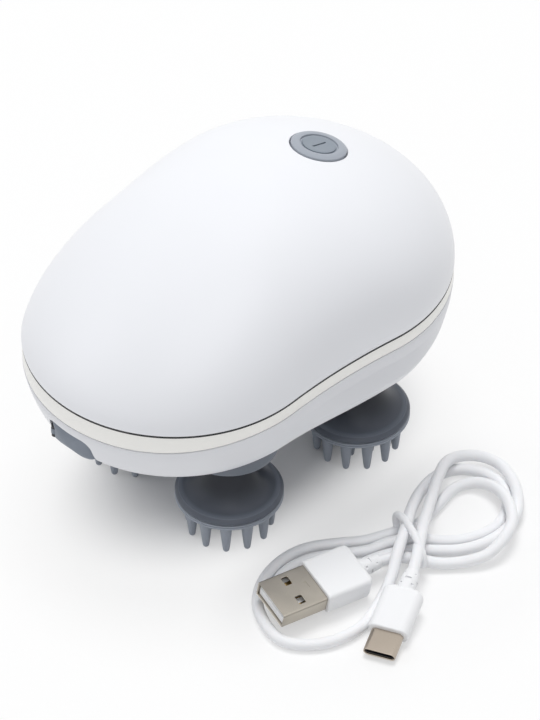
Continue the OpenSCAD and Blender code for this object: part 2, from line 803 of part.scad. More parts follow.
module bush(sx, sy) {
    low = collar_z + seal_h;
    top = gear_z - 0.15;
    color("goldenrod") at_head(sx, sy) difference() {
        union() {
            translate([0, 0, low]) cylinder(h = top - low, r = bush_r);
            translate([0, 0, chassis_z + plate_t]) cylinder(h = top - chassis_z - plate_t, r = bush_flange_r);
        }
        translate([0, 0, low - 1]) cylinder(h = 40, r = spindle_r + run);
    }
}

module shaft_seal(sx, sy) {
    color([0.15, 0.15, 0.16]) at_head(sx, sy) translate([0, 0, collar_z]) difference() {
        cylinder(h = seal_h, r = bush_r);
        translate([0, 0, -1]) cylinder(h = 5, r = spindle_r + run);
    }
}

module collar(sx, sy) {
    color([0.47, 0.5, 0.55]) at_head(sx, sy) difference() {
        rotate_extrude() polygon([
            [bush_r, collar_z], [hub_r, collar_z], [hub_r, base_z - 2.4],
            [collar_r - collar_wall - 1, base_z - 2.4], [collar_r - collar_wall, collar_z],
            [collar_r - 0.3, collar_z], [collar_r, collar_z + 0.3], [collar_r, collar_z + 1.4],
            [collar_r - 1.2, base_z], [bush_r, base_z]]);
    }
}

// side of the trumpet-shaped head from its rim up to its stem
function trumpet(u) = [stem_r + (head_r - 0.9 - stem_r) * pow(1 - u, 2.4),
    rim_z + plate_edge_h + (stem_top_z - rim_z - plate_edge_h) * u];

module head_plate(sx, sy) {
    color([0.3, 0.33, 0.38]) at_head(sx, sy) rotate_extrude() polygon(concat(
        [[spindle_r, rim_z + 1], [head_r - 2.2, rim_z + 1], [head_r - 2.2, rim_z + 0.2],
            [head_r - rim_step, rim_z + 0.2], [head_r - rim_step - 0.15, rim_z + plate_edge_h - 0.7],
            [head_r - 0.9 + 0.1, rim_z + plate_edge_h - 0.15]],
        [for (i = [0 : 10]) trumpet(i / 10)],
        [[spindle_r, stem_top_z]]));
}

module prong(x, y) {
    reach = pad_z - tip_r;
    translate([x, y, tip_r]) union() {
        cylinder(h = reach + 0.3, r1 = tip_r, r2 = prong_r);
        sphere(tip_r);
    }
}

module prong_pad(sx, sy) {
    turn = prong_turns[(sy + 1) + (1 - sx) / 2];
    color([0.5, 0.53, 0.58]) at_head(sx, sy) rotate(turn) union() {
        rotate_extrude() polygon([
            [0, pad_z], [head_r - 1, pad_z], [head_r - 0.4, pad_z + 0.5], [head_r - 0.4, pad_z + 0.7],
            [head_r - 0.1, pad_z + 0.8], [head_r, pad_z + 1.1], [head_r - 0.25, pad_z + 1.4],
            [head_r, pad_z + 1.7], [head_r - 0.1, rim_z + 0.2], [head_r - 2.2, rim_z + 0.2],
            [head_r - 2.2, rim_z + 1], [0, rim_z + 1]]);
        for (k = [0 : outer_prongs - 1])
            prong(prong_ring_r * cos(360 * k / outer_prongs), prong_ring_r * sin(360 * k / outer_prongs));
        for (k = [0 : inner_prongs - 1])
            prong(prong_ring_r / 2 * cos(360 * k / inner_prongs),
                prong_ring_r / 2 * sin(360 * k / inner_prongs));
        prong(0, 0);
    }
}

// ---- charging lead ----------------------------------------------------------------------

function unit(v) = v / norm(v);
function along(path, i) = unit(path[min(i + 1, len(path) - 1)] - path[max(i - 1, 0)]);

// a round tube swept along a route, its rings square to the route
module tube(path, r, sides) {
    skin([for (i = [0 : len(path) - 1]) let (t = along(path, i),
        u = unit(cross(t, [0, 0, 1])), v = cross(u, t))
        [for (k = [0 : sides - 1]) let (a = -360 * (k + 0.5) / sides)
            path[i] + r * (cos(a) * u + sin(a) * v)]]);
}

module lead_cable() {
    color("white") tube(lead_route, cable_r, cable_sides);
}

module lead_tie() {
    loop_steps = 20;
    ring = [for (i = [0 : loop_steps - 1]) let (a = 360 * i / loop_steps)
        [tie_half * cos(a), 0, tie_half_h * sin(a)]];
    color("white") translate(tie_at) rotate(tie_turn) closed_tube(ring, tie_r, 8);
}

module closed_tube(ring, r, sides) {
    n = len(ring);
    polyhedron(
        points = [for (i = [0 : n - 1]) let (t = unit(ring[(i + 1) % n] - ring[(i + n - 1) % n]),
            u = [0, 1, 0], v = cross(t, u))
            for (k = [0 : sides - 1]) let (a = 360 * k / sides) ring[i] + r * (cos(a) * u + sin(a) * v)],
        faces = [for (i = [0 : n - 1]) for (k = [0 : sides - 1]) for (h = [0, 1])
            let (i2 = (i + 1) % n, k2 = (k + 1) % sides)
            h == 0 ? [i * sides + k, i2 * sides + k, i2 * sides + k2]
                : [i * sides + k, i2 * sides + k2, i * sides + k2]],
        convexity = 6);
}

module wide_frame() {
    translate(wide_at) rotate([0, 0, wide_turn[2]]) rotate([wide_turn[0], 0, 0]) rotate([0, wide_turn[1], 0])
        children();
}

module small_frame() {
    translate(small_at) rotate([0, 0, small_turn[2]]) rotate([small_turn[0], 0, 0]) children();
}

module wide_plug_shell() {
    color([0.75, 0.7, 0.62]) wide_frame() difference() {
        translate([-wide_w / 2, 0, -wide_h / 2]) cube([wide_w, wide_l, wide_h]);
        translate([-wide_w / 2 + plug_wall, -1, -wide_h / 2 + plug_wall])
            cube([wide_w - 2 * plug_wall, wide_l + 2, wide_h - 2 * plug_wall]);
        for (s = [-1, 1]) translate([s * wide_w / 4 - 1.2, wide_l - 7.6, 0.2]) cube([2.4, 2.4, 5]);
    }
}

module wide_plug_tongue() {
    color("white") wide_frame() translate([-wide_w / 2 + plug_wall, 0.6, -wide_h / 2 + plug_wall])
        cube([wide_w - 2 * plug_wall, wide_l - 0.6, tongue_t]);
}

// a grip with rounded edges and its strain relief, from the shell's end to the cable
module grip(w, h, from) {
    edge = 1.1;
    union() {
        translate([0, from, 0]) rotate([-90, 0, 0]) linear_extrude(grip_l) hull() {
            for (sx = [-1, 1], sz = [-1, 1])
                translate([sx * (w / 2 - edge), sz * (h / 2 - edge)]) circle(edge, $fn = 24);
        }
        translate([0, from + grip_l, 0]) rotate([-90, 0, 0])
            cylinder(h = relief_l, r1 = relief_r, r2 = cable_r + 0.3);
    }
}

module wide_plug_grip() {
    color("white") wide_frame() grip(wide_grip_w, wide_grip_h, wide_l);
}

module small_plug_shell() {
    color([0.75, 0.7, 0.62]) small_frame() difference() {
        translate([0, small_l, 0]) slot(small_w, small_h, small_l);
        translate([0, small_l - 1, 0]) slot(small_w - 2 * plug_wall, small_h - 2 * plug_wall, small_l);
    }
}

module small_plug_grip() {
    color("white") small_frame() grip(small_grip_w, small_grip_h, small_l);
}

top_shell();
seam_gasket();
trim_band();
lower_shell();
power_button();
switch_board();
power_switch();
main_board();
charge_socket();
port_frame();
port_cover();
cover_pin();
battery_cell();
battery_cradle();
motor_can();
motor_pinion();
reduction_gear();
reduction_axle();
centre_gear();
centre_axle();
gear_chassis();
gear_deck();
motor_deck();
case_screws();
spindle(1, -1);  // front_right_spindle
head_gear(1, -1);  // front_right_gear
bush(1, -1);  // front_right_bush
shaft_seal(1, -1);  // front_right_seal
collar(1, -1);  // front_right_collar
head_plate(1, -1);  // front_right_head
prong_pad(1, -1);  // front_right_pad
spindle(-1, -1);  // front_left_spindle
head_gear(-1, -1);  // front_left_gear
bush(-1, -1);  // front_left_bush
shaft_seal(-1, -1);  // front_left_seal
collar(-1, -1);  // front_left_collar
head_plate(-1, -1);  // front_left_head
prong_pad(-1, -1);  // front_left_pad
spindle(1, 1);  // rear_right_spindle
head_gear(1, 1);  // rear_right_gear
bush(1, 1);  // rear_right_bush
shaft_seal(1, 1);  // rear_right_seal
collar(1, 1);  // rear_right_collar
head_plate(1, 1);  // rear_right_head
prong_pad(1, 1);  // rear_right_pad
spindle(-1, 1);  // rear_left_spindle
head_gear(-1, 1);  // rear_left_gear
bush(-1, 1);  // rear_left_bush
shaft_seal(-1, 1);  // rear_left_seal
collar(-1, 1);  // rear_left_collar
head_plate(-1, 1);  // rear_left_head
prong_pad(-1, 1);  // rear_left_pad
lead_cable();
lead_tie();
wide_plug_shell();
wide_plug_tongue();
wide_plug_grip();
small_plug_shell();
small_plug_grip();
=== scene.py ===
import json
import math

import bmesh
import bpy
from mathutils import Matrix, Vector


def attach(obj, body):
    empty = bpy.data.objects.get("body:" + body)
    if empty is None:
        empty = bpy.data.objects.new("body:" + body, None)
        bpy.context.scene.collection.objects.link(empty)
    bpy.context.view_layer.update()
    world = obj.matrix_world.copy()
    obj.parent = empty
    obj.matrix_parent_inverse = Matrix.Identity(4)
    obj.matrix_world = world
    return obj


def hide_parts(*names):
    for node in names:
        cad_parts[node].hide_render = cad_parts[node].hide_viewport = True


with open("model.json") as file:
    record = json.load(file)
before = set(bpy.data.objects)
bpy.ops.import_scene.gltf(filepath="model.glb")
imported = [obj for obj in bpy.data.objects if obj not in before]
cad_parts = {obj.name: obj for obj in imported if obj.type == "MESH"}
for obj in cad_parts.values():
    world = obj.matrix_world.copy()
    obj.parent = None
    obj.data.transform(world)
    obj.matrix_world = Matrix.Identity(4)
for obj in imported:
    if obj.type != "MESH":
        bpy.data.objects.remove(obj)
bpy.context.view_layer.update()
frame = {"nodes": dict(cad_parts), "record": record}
scene = bpy.context.scene

# Sizes below are in millimetres in the part's own frame; meshes are scaled to metres as they are made.
milli = 0.001
weld = 1e-7  # metres: points closer than this are one
isCamera, isGlossy, isTransmission = 0, 3, 6  # outputs of a Light Path node


cameraSet = {
    "place": (586.915, -531.913, 739.152),  # mm
    "tilt": 48.17,  # degrees up from straight down
    "turn": 47.27,  # degrees round from +Y
    "lens": 210,
    "sensor": 36,
    "sees": 20,  # metres
}


def makeCamera(s):
    data = bpy.data.cameras.new("camera")
    data.lens = s["lens"]
    data.sensor_width = s["sensor"]
    data.clip_end = s["sees"]
    camera = bpy.data.objects.new("camera", data)
    camera.location = Vector(s["place"]) * milli
    camera.rotation_euler = (math.radians(s["tilt"]), 0, math.radians(s["turn"]))
    scene.collection.objects.link(camera)
    scene.camera = camera


makeCamera(cameraSet)
print("camera placed")


class Wire:
    # a shader socket that can be used in sums; anything else is a number
    def __init__(self, paint, socket):
        self.paint = paint
        self.socket = socket

    def calc(self, operation, *values):
        return self.paint.node("ShaderNodeMath", {"operation": operation}, dict(enumerate(values)))[0]

    def __add__(self, other):
        return self.calc("ADD", self, other)

    __radd__ = __add__

    def __sub__(self, other):
        return self.calc("SUBTRACT", self, other)

    def __rsub__(self, other):
        return self.calc("SUBTRACT", other, self)

    def __mul__(self, other):
        return self.calc("MULTIPLY", self, other)

    __rmul__ = __mul__

    def __truediv__(self, other):
        return self.calc("DIVIDE", self, other)

    def __pow__(self, other):
        return self.calc("POWER", self, other)

    def size(self):
        return self.calc("ABSOLUTE", self)

    def above(self, level, soft):
        # 0 under the level and 1 over it, blended across a soft width
        step = self.paint.node("ShaderNodeMapRange", {"interpolation_type": "SMOOTHSTEP"},
                               {"Value": self, "From Min": level - soft, "From Max": level + soft})
        return step[0]


class Paint:
    # a material under construction, or the world
    def __init__(self, name, world=False):
        self.holder = bpy.data.worlds.new(name) if world else bpy.data.materials.new(name)
        self.holder.use_nodes = True
        self.tree = self.holder.node_tree
        self.tree.nodes.clear()
        self.out = self.tree.nodes.new("ShaderNodeOutputWorld" if world else "ShaderNodeOutputMaterial")

    def node(self, kind, settings=None, values=None):
        made = self.tree.nodes.new(kind)
        for key, value in (settings or {}).items():
            setattr(made, key, value)
        for key, value in (values or {}).items():
            self.feed(made.inputs[key], value)
        return [Wire(self, s) for s in made.outputs]

    def feed(self, socket, value):
        if isinstance(value, Wire):
            self.tree.links.new(value.socket, socket)
        elif socket.type == "RGBA":
            socket.default_value = (*value, 1)
        else:
            socket.default_value = value

    def place(self):
        # where a point of the piece is, in metres in the part's frame
        return self.node("ShaderNodeTexCoord")[3]

    def noise(self, size, detail=3, where=None):
        # a noise whose blobs are about this many mm across
        return self.node("ShaderNodeTexNoise", {}, {"Vector": where or self.place(),
                         "Scale": 1 / (size * milli), "Detail": detail})[0]

    def lines(self, size, pull):
        # a noise drawn out or pressed together along the axes
        spot = self.node("ShaderNodeVectorMath", {"operation": "MULTIPLY"}, {0: self.place(), 1: pull})[0]
        return self.noise(size, 3, spot)

    def blend(self, share, first, second):
        return self.node("ShaderNodeMix", {"data_type": "RGBA"}, {0: share, 6: first, 7: second})[2]

    def bump(self, height, depth, strength):
        # depth in mm
        values = {"Height": height, "Distance": depth * milli, "Strength": strength}
        return self.node("ShaderNodeBump", {}, values)[0]

    def surface(self, **values):
        named = {key.replace("_", " "): value for key, value in values.items()}
        return self.finish(self.node("ShaderNodeBsdfPrincipled", {}, named)[0])

    def seen(self):
        # 1 where the camera looks, straight or by way of metal or glass
        light = self.node("ShaderNodeLightPath")
        return light[isCamera] + light[isGlossy] + light[isTransmission]

    def finish(self, shader):
        self.tree.links.new(shader.socket, self.out.inputs[0])
        return self.holder


def shade(colour, factor):
    return tuple(min(1, c * factor) for c in colour)


def mottled(name, colour, roughness, grainSize, cloudSize, spread, swing, relief, detail=3, **more):
    # a moulded surface: faint clouds of tone, and a fine grain in its gloss and its relief
    paint = Paint(name)
    grain = paint.noise(grainSize, detail)
    cloud = paint.noise(cloudSize, 2)
    tone = paint.blend(cloud, shade(colour, spread[0]), shade(colour, spread[1]))
    return paint.surface(Base_Color=tone, Roughness=grain * swing + (roughness - swing / 2),
                         Normal=paint.bump(grain, *relief), **more)


def smoothByAngle(mesh, degrees):
    work = bmesh.new()
    work.from_mesh(mesh)
    limit = math.radians(degrees)
    for face in work.faces:
        face.smooth = True
    for edge in work.edges:
        edge.smooth = len(edge.link_faces) != 2 or edge.calc_face_angle(0) < limit
    work.to_mesh(mesh)
    work.free()


def grained(name, low, high, size, swing, gloss, relief=None, **more):
    # a small part's surface: one grain drives its tone, its gloss and its relief
    paint = Paint(name)
    grain = paint.noise(size, 2)
    if relief:
        more["Normal"] = paint.bump(grain, *relief)
    return paint.surface(Base_Color=paint.blend(grain, low, high), Roughness=grain * swing + gloss, **more)


def meshFrom(name, shape):
    # shape is (points in mm, faces)
    mesh = bpy.data.meshes.new(name)
    mesh.from_pydata([tuple(c * milli for c in p) for p in shape[0]], [], shape[1])
    work = bmesh.new()
    work.from_mesh(mesh)
    bmesh.ops.remove_doubles(work, verts=work.verts, dist=weld)
    bmesh.ops.recalc_face_normals(work, faces=work.faces)
    work.to_mesh(mesh)
    work.free()
    return mesh


def piece(name, shape, material, body, stands=(), sharp=35):
    # the piece rides on a body and stands for the named solids
    mesh = meshFrom(name, shape)
    smoothByAngle(mesh, sharp)
    made = bpy.data.objects.new(name, mesh)
    scene.collection.objects.link(made)
    mesh.materials.append(material)
    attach(made, body)
    if stands:
        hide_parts(*stands)
    return made


def skin(rings, capFirst=True, capLast=True):
    # a skin over equal rings of points
    count = len(rings[0])
    points = [p for ring in rings for p in ring]
    faces = []
    for i in range(len(rings) - 1):
        for k in range(count):
            j = (k + 1) % count
            faces.append((i * count + k, i * count + j, (i + 1) * count + j, (i + 1) * count + k))
    for i, wanted in ((0, capFirst), (len(rings) - 1, capLast)):
        if wanted:
            middle = sum((Vector(p) / count for p in rings[i]), Vector((0, 0, 0)))
            points.append(tuple(middle))
            for k in range(count):
                faces.append((i * count + k, i * count + (k + 1) % count, len(points) - 1))
    return points, faces


def closedSkin(rings):
    # the same, with the last ring joined to the first
    points, faces = skin(rings, False, False)
    count = len(rings[0])
    last = (len(rings) - 1) * count
    for k in range(count):
        j = (k + 1) % count
        faces.append((last + k, last + j, j, k))
    return points, faces


def lathe(profile, steps=96, closed=False):
    # profile is (radius, height) pairs; a closed one runs back to its start
    rings = [[(r * math.cos(2 * math.pi * k / steps), r * math.sin(2 * math.pi * k / steps), z)
              for k in range(steps)] for r, z in profile]
    if closed:
        return closedSkin(rings)
    return skin(rings, profile[0][0] > 0, profile[-1][0] > 0)


def drum(radius, low, high, steps):
    return lathe([(0, low), (radius, low), (radius, high), (0, high)], steps)


def joined(*shapes):
    points, faces = [], []
    for shapePoints, shapeFaces in shapes:
        start = len(points)
        points += shapePoints
        faces += [tuple(i + start for i in f) for f in shapeFaces]
    return points, faces


def moved(shape, matrix):
    return [tuple(matrix @ Vector(p)) for p in shape[0]], shape[1]


def shift(x, y, z):
    return Matrix.Translation(Vector((x, y, z)))


def block(low, high):
    corners = [(x, y, z) for x in (low[0], high[0]) for y in (low[1], high[1]) for z in (low[2], high[2])]
    return corners, [(0, 1, 3, 2), (4, 6, 7, 5), (0, 4, 5, 1), (2, 3, 7, 6), (0, 2, 6, 4), (1, 5, 7, 3)]


def cut(target, shape, sharp=35):
    # takes a shape away from a finished piece
    cutter = bpy.data.objects.new("cutter", meshFrom("cutter", shape))
    scene.collection.objects.link(cutter)
    tool = target.modifiers.new("cut", "BOOLEAN")
    tool.operation = "DIFFERENCE"
    tool.solver = "EXACT"
    tool.object = cutter
    bpy.context.view_layer.update()
    result = bpy.data.meshes.new_from_object(target.evaluated_get(bpy.context.evaluated_depsgraph_get()))
    target.modifiers.remove(tool)
    target.data = result
    bpy.data.objects.remove(cutter)
    smoothByAngle(result, sharp)


def arc(centre, radius, start, end, steps):
    # points of an arc as (across, up), angles in degrees
    return [(centre[0] + radius * math.cos(math.radians(start + (end - start) * i / steps)),
             centre[1] + radius * math.sin(math.radians(start + (end - start) * i / steps)))
            for i in range(steps + 1)]


def tube(path, radius, sides=20, closed=False):
    # a round tube along a path of points in mm
    spots = [Vector(p) for p in path]
    rings = []
    count = len(spots)
    for i, p in enumerate(spots):
        before = spots[(i - 1) % count] if closed or i else spots[0]
        after = spots[(i + 1) % count] if closed or i < count - 1 else spots[-1]
        along = (after - before).normalized()
        side = along.cross(Vector((0, 0, 1)))
        if closed:
            side = Vector((-spots[0].y + spots[count // 2].y, spots[0].x - spots[count // 2].x, 0))
        side = side.normalized()
        up = side.cross(along)
        rings.append([tuple(p + radius * (math.cos(2 * math.pi * k / sides) * side
                                          + math.sin(2 * math.pi * k / sides) * up)) for k in range(sides)])
    return closedSkin(rings) if closed else skin(rings)


def smoothPath(points, parts):
    # a Catmull-Rom line through the points, in mm
    spots = [Vector(p) for p in points]
    spots = [2 * spots[0] - spots[1]] + spots + [2 * spots[-1] - spots[-2]]
    line = []
    for i in range(1, len(spots) - 2):
        a, b, c, d = spots[i - 1:i + 3]
        for k in range(parts):
            t = k / parts
            line.append(0.5 * (2 * b + (c - a) * t + (2 * a - 5 * b + 4 * c - d) * t * t
                               + (3 * b - a - 3 * c + d) * t ** 3))
    return line + [spots[-2]]


leadSet = {
    "diameter": 3.0,
    "parts": 4,  # points between two route points
    "colour": (0.9, 0.905, 0.925),
    "roughness": 0.38,
    "route": [
        (57.5, -6.6, 4.7), (59.3, -1.5, 4.1), (62.5, 2.5, 3.2), (66.5, 6.5, 1.8),
        (70.5, 11.5, 2), (73.2, 16.5, 3.1), (73.2, 22, 4.8), (70.5, 27.9, 5.4),
        (64.5, 32.4, 5.3), (57.5, 34.9, 3.4), (52, 33.5, 2.2), (49.5, 29, 1.6),
        (50.5, 23, 1.6), (52, 17, 1.6), (52.6, 12, 1.6), (51.8, 7.5, 2.4),
        (50, 3, 2), (48, -1.2, 1.6), (44.5, -6.2, 1.5), (41, -11.5, 1.5),
        (39, -17, 1.5), (39, -23.5, 1.5), (41, -30, 1.5), (45.5, -36, 1.5),
        (52, -39.5, 1.5), (59, -40.5, 1.5), (64.5, -37, 1.5), (68, -31, 1.5),
        (69, -23, 1.5), (66.5, -14.5, 2.1), (63.6, -7.5, 4.4), (60.2, -2.1, 7.1),
        (56.2, 4.4, 7.9), (50.8, 11.9, 6.4), (45.8, 20.3, 3.7), (43.2, 28.3, 1.7),
        (45, 34.2, 1.5), (50.2, 37.9, 1.5), (56.4, 38.3, 1.5), (62, 35, 1.5),
        (65.6, 29.8, 1.5), (66.4, 23.8, 1.5), (64.7, 17.9, 1.5), (61.8, 13.5, 1.6),
        (58.5, 9.5, 2.4), (55.5, 5.5, 3.1), (52.8, 1.2, 2.5), (51, -3, 1.6),
        (48.2, -7.8, 1.6), (44.8, -12.8, 1.5), (42.6, -18, 1.5), (42.4, -24, 1.5),
        (44, -28.5, 1.5), (47, -31.6, 1.5), (50.6, -31, 1.5), (52.6, -27, 1.5),
        (53, -21, 1.5), (53, -14, 1.6), (53.5, -7, 1.6), (56, -1, 2.4),
        (59.5, 4.5, 2.8), (63, 9.5, 1.8), (66.4, 13.9, 1.6), (68.8, 19.2, 1.8),
        (69.6, 25.3, 2.1), (68.5, 30.5, 2.5), (65.6, 35.2, 3), (60.1, 39.3, 3.6),
        (53.2, 41.7, 3.6), (46.9, 40.7, 3.2), (43.5, 36.2, 3.8), (43.8, 30.8, 5.1),
        (46.6, 25.3, 5.3), (50.8, 19, 5.8), (56, 11.5, 6.8), (61, 5, 7.8),
        (65, -0.2, 7.4), (67.7, -4.3, 6.5)],
}


def jacketVinyl(s):
    # soft white jacket with the lightest uneven sheen
    return mottled("jacketVinyl", s["colour"], s["roughness"], 0.35, 9, (0.97, 1.02), 0.1, (0.01, 0.4),
                   detail=2, Subsurface_Weight=0.12, Subsurface_Radius=(0.0015, 0.0013, 0.0012))


def makeCable(s):
    line = smoothPath(s["route"], s["parts"])
    made = piece("leadCable", tube(line, s["diameter"] / 2), jacketVinyl(s), "case",
                 ["lead_cable"])
    return made, line


cable, cableLine = makeCable(leadSet)
cableLength = sum((b - a).length for a, b in zip(cableLine, cableLine[1:]))
print("cable made,", round(cableLength), "mm long")


widePlugSet = {
    "at": (52, -37.8, 6.7),
    "turn": (-3.6, 9, -10),  # degrees: pitch, roll, yaw
    "width": 12.0, "height": 4.5, "length": 13.0, "wall": 0.35, "edge": 0.4, "lip": 0.14,
    "windowSpread": 3.2, "windowY": 6.5, "windowSize": (2.6, 1.9), "windowCorner": 0.35, "punch": 0.8,
    "slotY": 10.3, "slotSize": (2.2, 1.0), "slotCorner": 0.45, "slotLift": 0.67,
    "foldDepth": 0.16, "fold": (0.52, 0.36),  # below the top face
    "tongue": 2.4, "tongueBack": 0.6, "tongueEdge": 0.25, "tongueCorner": 0.15,
    "strips": [(-3.5, 1.2), (-1, 2.2), (1, 2.2), (3.5, 1.2)],  # across, behind the tongue's end
    "stripHalf": 0.5, "stripRise": 0.1,
    "gripWidth": 13.6, "gripHeight": 6.4, "gripLength": 13.2, "corner": 1.2,
    "frontEdge": 0.45, "backEdge": 1.5,
    "metal": (0.47, 0.435, 0.38), "metalRoughness": 0.3,
}
smallPlugSet = {
    "at": (79, -26.5, 1.65),
    "turn": (11, 0, 27),
    "width": 8.3, "height": 2.6, "length": 6.6, "wall": 0.35, "lip": 0.16,
    "coreGap": 0.03, "core": [(0.25, 5.5), (0.25, 0.5), (0, 0.5), (0, 6)],  # drawn in, behind the mouth
    "flat": 0.02,
    "gripWidth": 10.4, "gripHeight": 5.0, "gripLength": 13.2, "corner": 2.2,
    "frontEdge": 0.45, "backEdge": 1.6,
    "metal": (0.47, 0.41, 0.345), "metalRoughness": 0.3,
}
reliefSet = {
    "length": 6.0, "big": 2.3, "small": 1.8,
    "slots": 3, "slotStart": 1.0, "slotStep": 1.55, "slotWidth": 0.55, "slotLength": 1.5, "slotDepth": 0.55,
    "pairAt": 0.75, "pairHalf": 0.55,  # short slots side by side, at this share of the radius
}
plugPlasticSet = {"colour": (0.9, 0.905, 0.92), "roughness": 0.34}
tieSet = {"at": (57.8, 4.4, 5.3), "turn": -20, "half": 8.4, "halfHeight": 4.2, "radius": 1.0, "steps": 72}


def plugFrame(s):
    pitch, roll, yaw = (math.radians(a) for a in s["turn"])
    return (shift(*s["at"]) @ Matrix.Rotation(yaw, 4, "Z") @ Matrix.Rotation(pitch, 4, "X")
            @ Matrix.Rotation(roll, 4, "Y"))


def roundedLoop(width, height, corner, y, steps=8):
    # a rounded rectangle square to the plug, at a distance y behind its mouth
    loop = []
    for cx, cz, start in ((1, 1, 0), (-1, 1, 90), (-1, -1, 180), (1, -1, 270)):
        centre = (cx * (width / 2 - corner), cz * (height / 2 - corner))
        loop += [(x, y, z) for x, z in arc(centre, corner, start, start + 90, steps)]
    return loop


def roundedHole(middle, size, corner, reach):
    # a rounded punch through the flat of a plug's shell
    loop = [(x + middle[0], z + middle[1]) for x, y, z in roundedLoop(size[0], size[1], corner, 0, 6)]
    return skin([[(x, y, middle[2] + up) for x, y in loop] for up in (-reach, reach)])


def nickelPlate(name, colour, roughness):
    # warm nickel over stamped steel: faint rolling lines along the shell
    paint = Paint(name)
    lines = paint.lines(0.12, (1, 0.12, 1))
    cloud = paint.noise(5, 2)
    tone = paint.blend(cloud, shade(colour, 0.95), shade(colour, 1.05))
    return paint.surface(Base_Color=tone, Metallic=1.0, Roughness=lines * 0.12 + (roughness - 0.06),
                         Normal=paint.bump(lines, 0.004, 0.3))


def plugPlastic(s):
    return mottled("plugPlastic", s["colour"], s["roughness"], 0.22, 7, (0.985, 1.01), 0.12, (0.012, 0.5),
                   Subsurface_Weight=0.1, Subsurface_Radius=(0.001, 0.001, 0.001))


def hollowShell(s, corner):
    # a drawn metal tube with a rolled mouth, its back end closed inside the grip
    width, height, length, wall, lip = s["width"], s["height"], s["length"], s["wall"], s["lip"]
    inner = corner - wall if corner > wall else 0.05
    turned = max(corner - lip, 0.05)
    return skin([roundedLoop(width - 2 * lip, height - 2 * lip, turned, length),
                 roundedLoop(width, height, corner, length - lip),
                 roundedLoop(width, height, corner, lip),
                 roundedLoop(width - lip * 0.6, height - lip * 0.6, corner - lip * 0.3, lip * 0.25),
                 roundedLoop(width - 2 * lip, height - 2 * lip, turned, 0),
                 roundedLoop(width - 2 * wall, height - 2 * wall, inner, lip),
                 roundedLoop(width - 2 * wall, height - 2 * wall, inner, length - wall)])


def gripShape(s):
    # a moulded grip: crisp at the shell, rounder where the relief leaves it
    start = s["length"]
    end = start + s["gripLength"]
    rings = []
    for i in range(6):
        a = math.radians(90 * i / 5)
        grow = s["frontEdge"] * (1 - math.sin(a))
        rings.append(roundedLoop(s["gripWidth"] - 2 * grow, s["gripHeight"] - 2 * grow,
                                 s["corner"] - grow * 0.5, start + s["frontEdge"] * (1 - math.cos(a))))
    for i in range(9):
        a = math.radians(90 * i / 8)
        shrink, y = s["backEdge"] * (1 - math.cos(a)), end - s["backEdge"] * (1 - math.sin(a))
        rings.append(roundedLoop(s["gripWidth"] - 2 * shrink, s["gripHeight"] - 1.1 * shrink,
                                 max(s["corner"] - shrink * 0.2, 0.4), y))
    return skin(rings)


def reliefShape(start, s):
    # a sleeve that narrows and closes on the cable
    profile = [(s["big"], -0.6), (s["big"], 0.4), (s["big"] * 0.97, s["length"] * 0.5),
               (s["small"] + 0.12, s["length"] - 0.45), (s["small"] - 0.05, s["length"] - 0.12),
               (s["small"] - 0.3, s["length"])]
    upright = lathe(profile, 48)
    return [(x, start + z, y) for x, y, z in upright[0]], upright[1]


def reliefCuts(start, s):
    # rows of notches let the sleeve bend: two short ones above and below, then one on each side
    cuts = []
    half = s["slotLength"] / 2
    for i in range(s["slots"]):
        y = start + s["slotStart"] + i * s["slotStep"]
        past = y + s["slotWidth"]
        for side in (-1, 1):
            low, high = sorted((side * (s["big"] - s["slotDepth"]), side * (s["big"] + 1)))
            if i % 2:
                cuts.append(block((-half, y, low), (half, past, high)))
                cuts.append(block((low, y, -half), (high, past, half)))
            else:
                for centre in (-s["pairAt"] * s["big"], s["pairAt"] * s["big"]):
                    cuts.append(block((centre - s["pairHalf"], y, low * s["pairAt"]),
                                      (centre + s["pairHalf"], past, high)))
    return cuts


def makeRelief(name, s, place, plastic):
    start = s["length"] + s["gripLength"]
    relief = piece(name, moved(reliefShape(start, reliefSet), place), plastic, "case")
    for notch in reliefCuts(start, reliefSet):
        cut(relief, moved(notch, place))
    return relief


def makeTongue(s, place):
    # the white tongue with its four gold strips
    low = s["wall"] - s["height"] / 2
    halfWidth = s["width"] / 2 - s["wall"]
    back, end = s["tongueBack"], s["length"] - 0.4
    rings = [roundedLoop(2 * (halfWidth - grow), s["tongue"] - 2 * grow, s["tongueCorner"], y, 3)
             for y, grow in ((back, s["tongueEdge"]), (back + s["tongueEdge"], 0), (end, 0))]
    raised = place @ shift(0, 0, low + s["tongue"] / 2)
    white = grained("tonguePlastic", (0.84, 0.84, 0.85), (0.88, 0.88, 0.89), 0.3, 0.1, 0.35, (0.01, 0.3))
    tongue = piece("widePlugTongue", moved(skin(rings), raised), white, "case",
                   ["wide_plug_tongue"])
    top = low + s["tongue"]
    strips = [block((x - s["stripHalf"], back + start, top - 0.02),
                    (x + s["stripHalf"], s["length"] - 0.5, top + s["stripRise"]))
              for x, start in s["strips"]]
    gold = grained("contactGold", (0.75, 0.52, 0.22), (0.86, 0.63, 0.30), 0.2, 0.1, 0.22, Metallic=1.0)
    return [tongue, piece("widePlugContacts", moved(joined(*strips), place), gold, "case")]


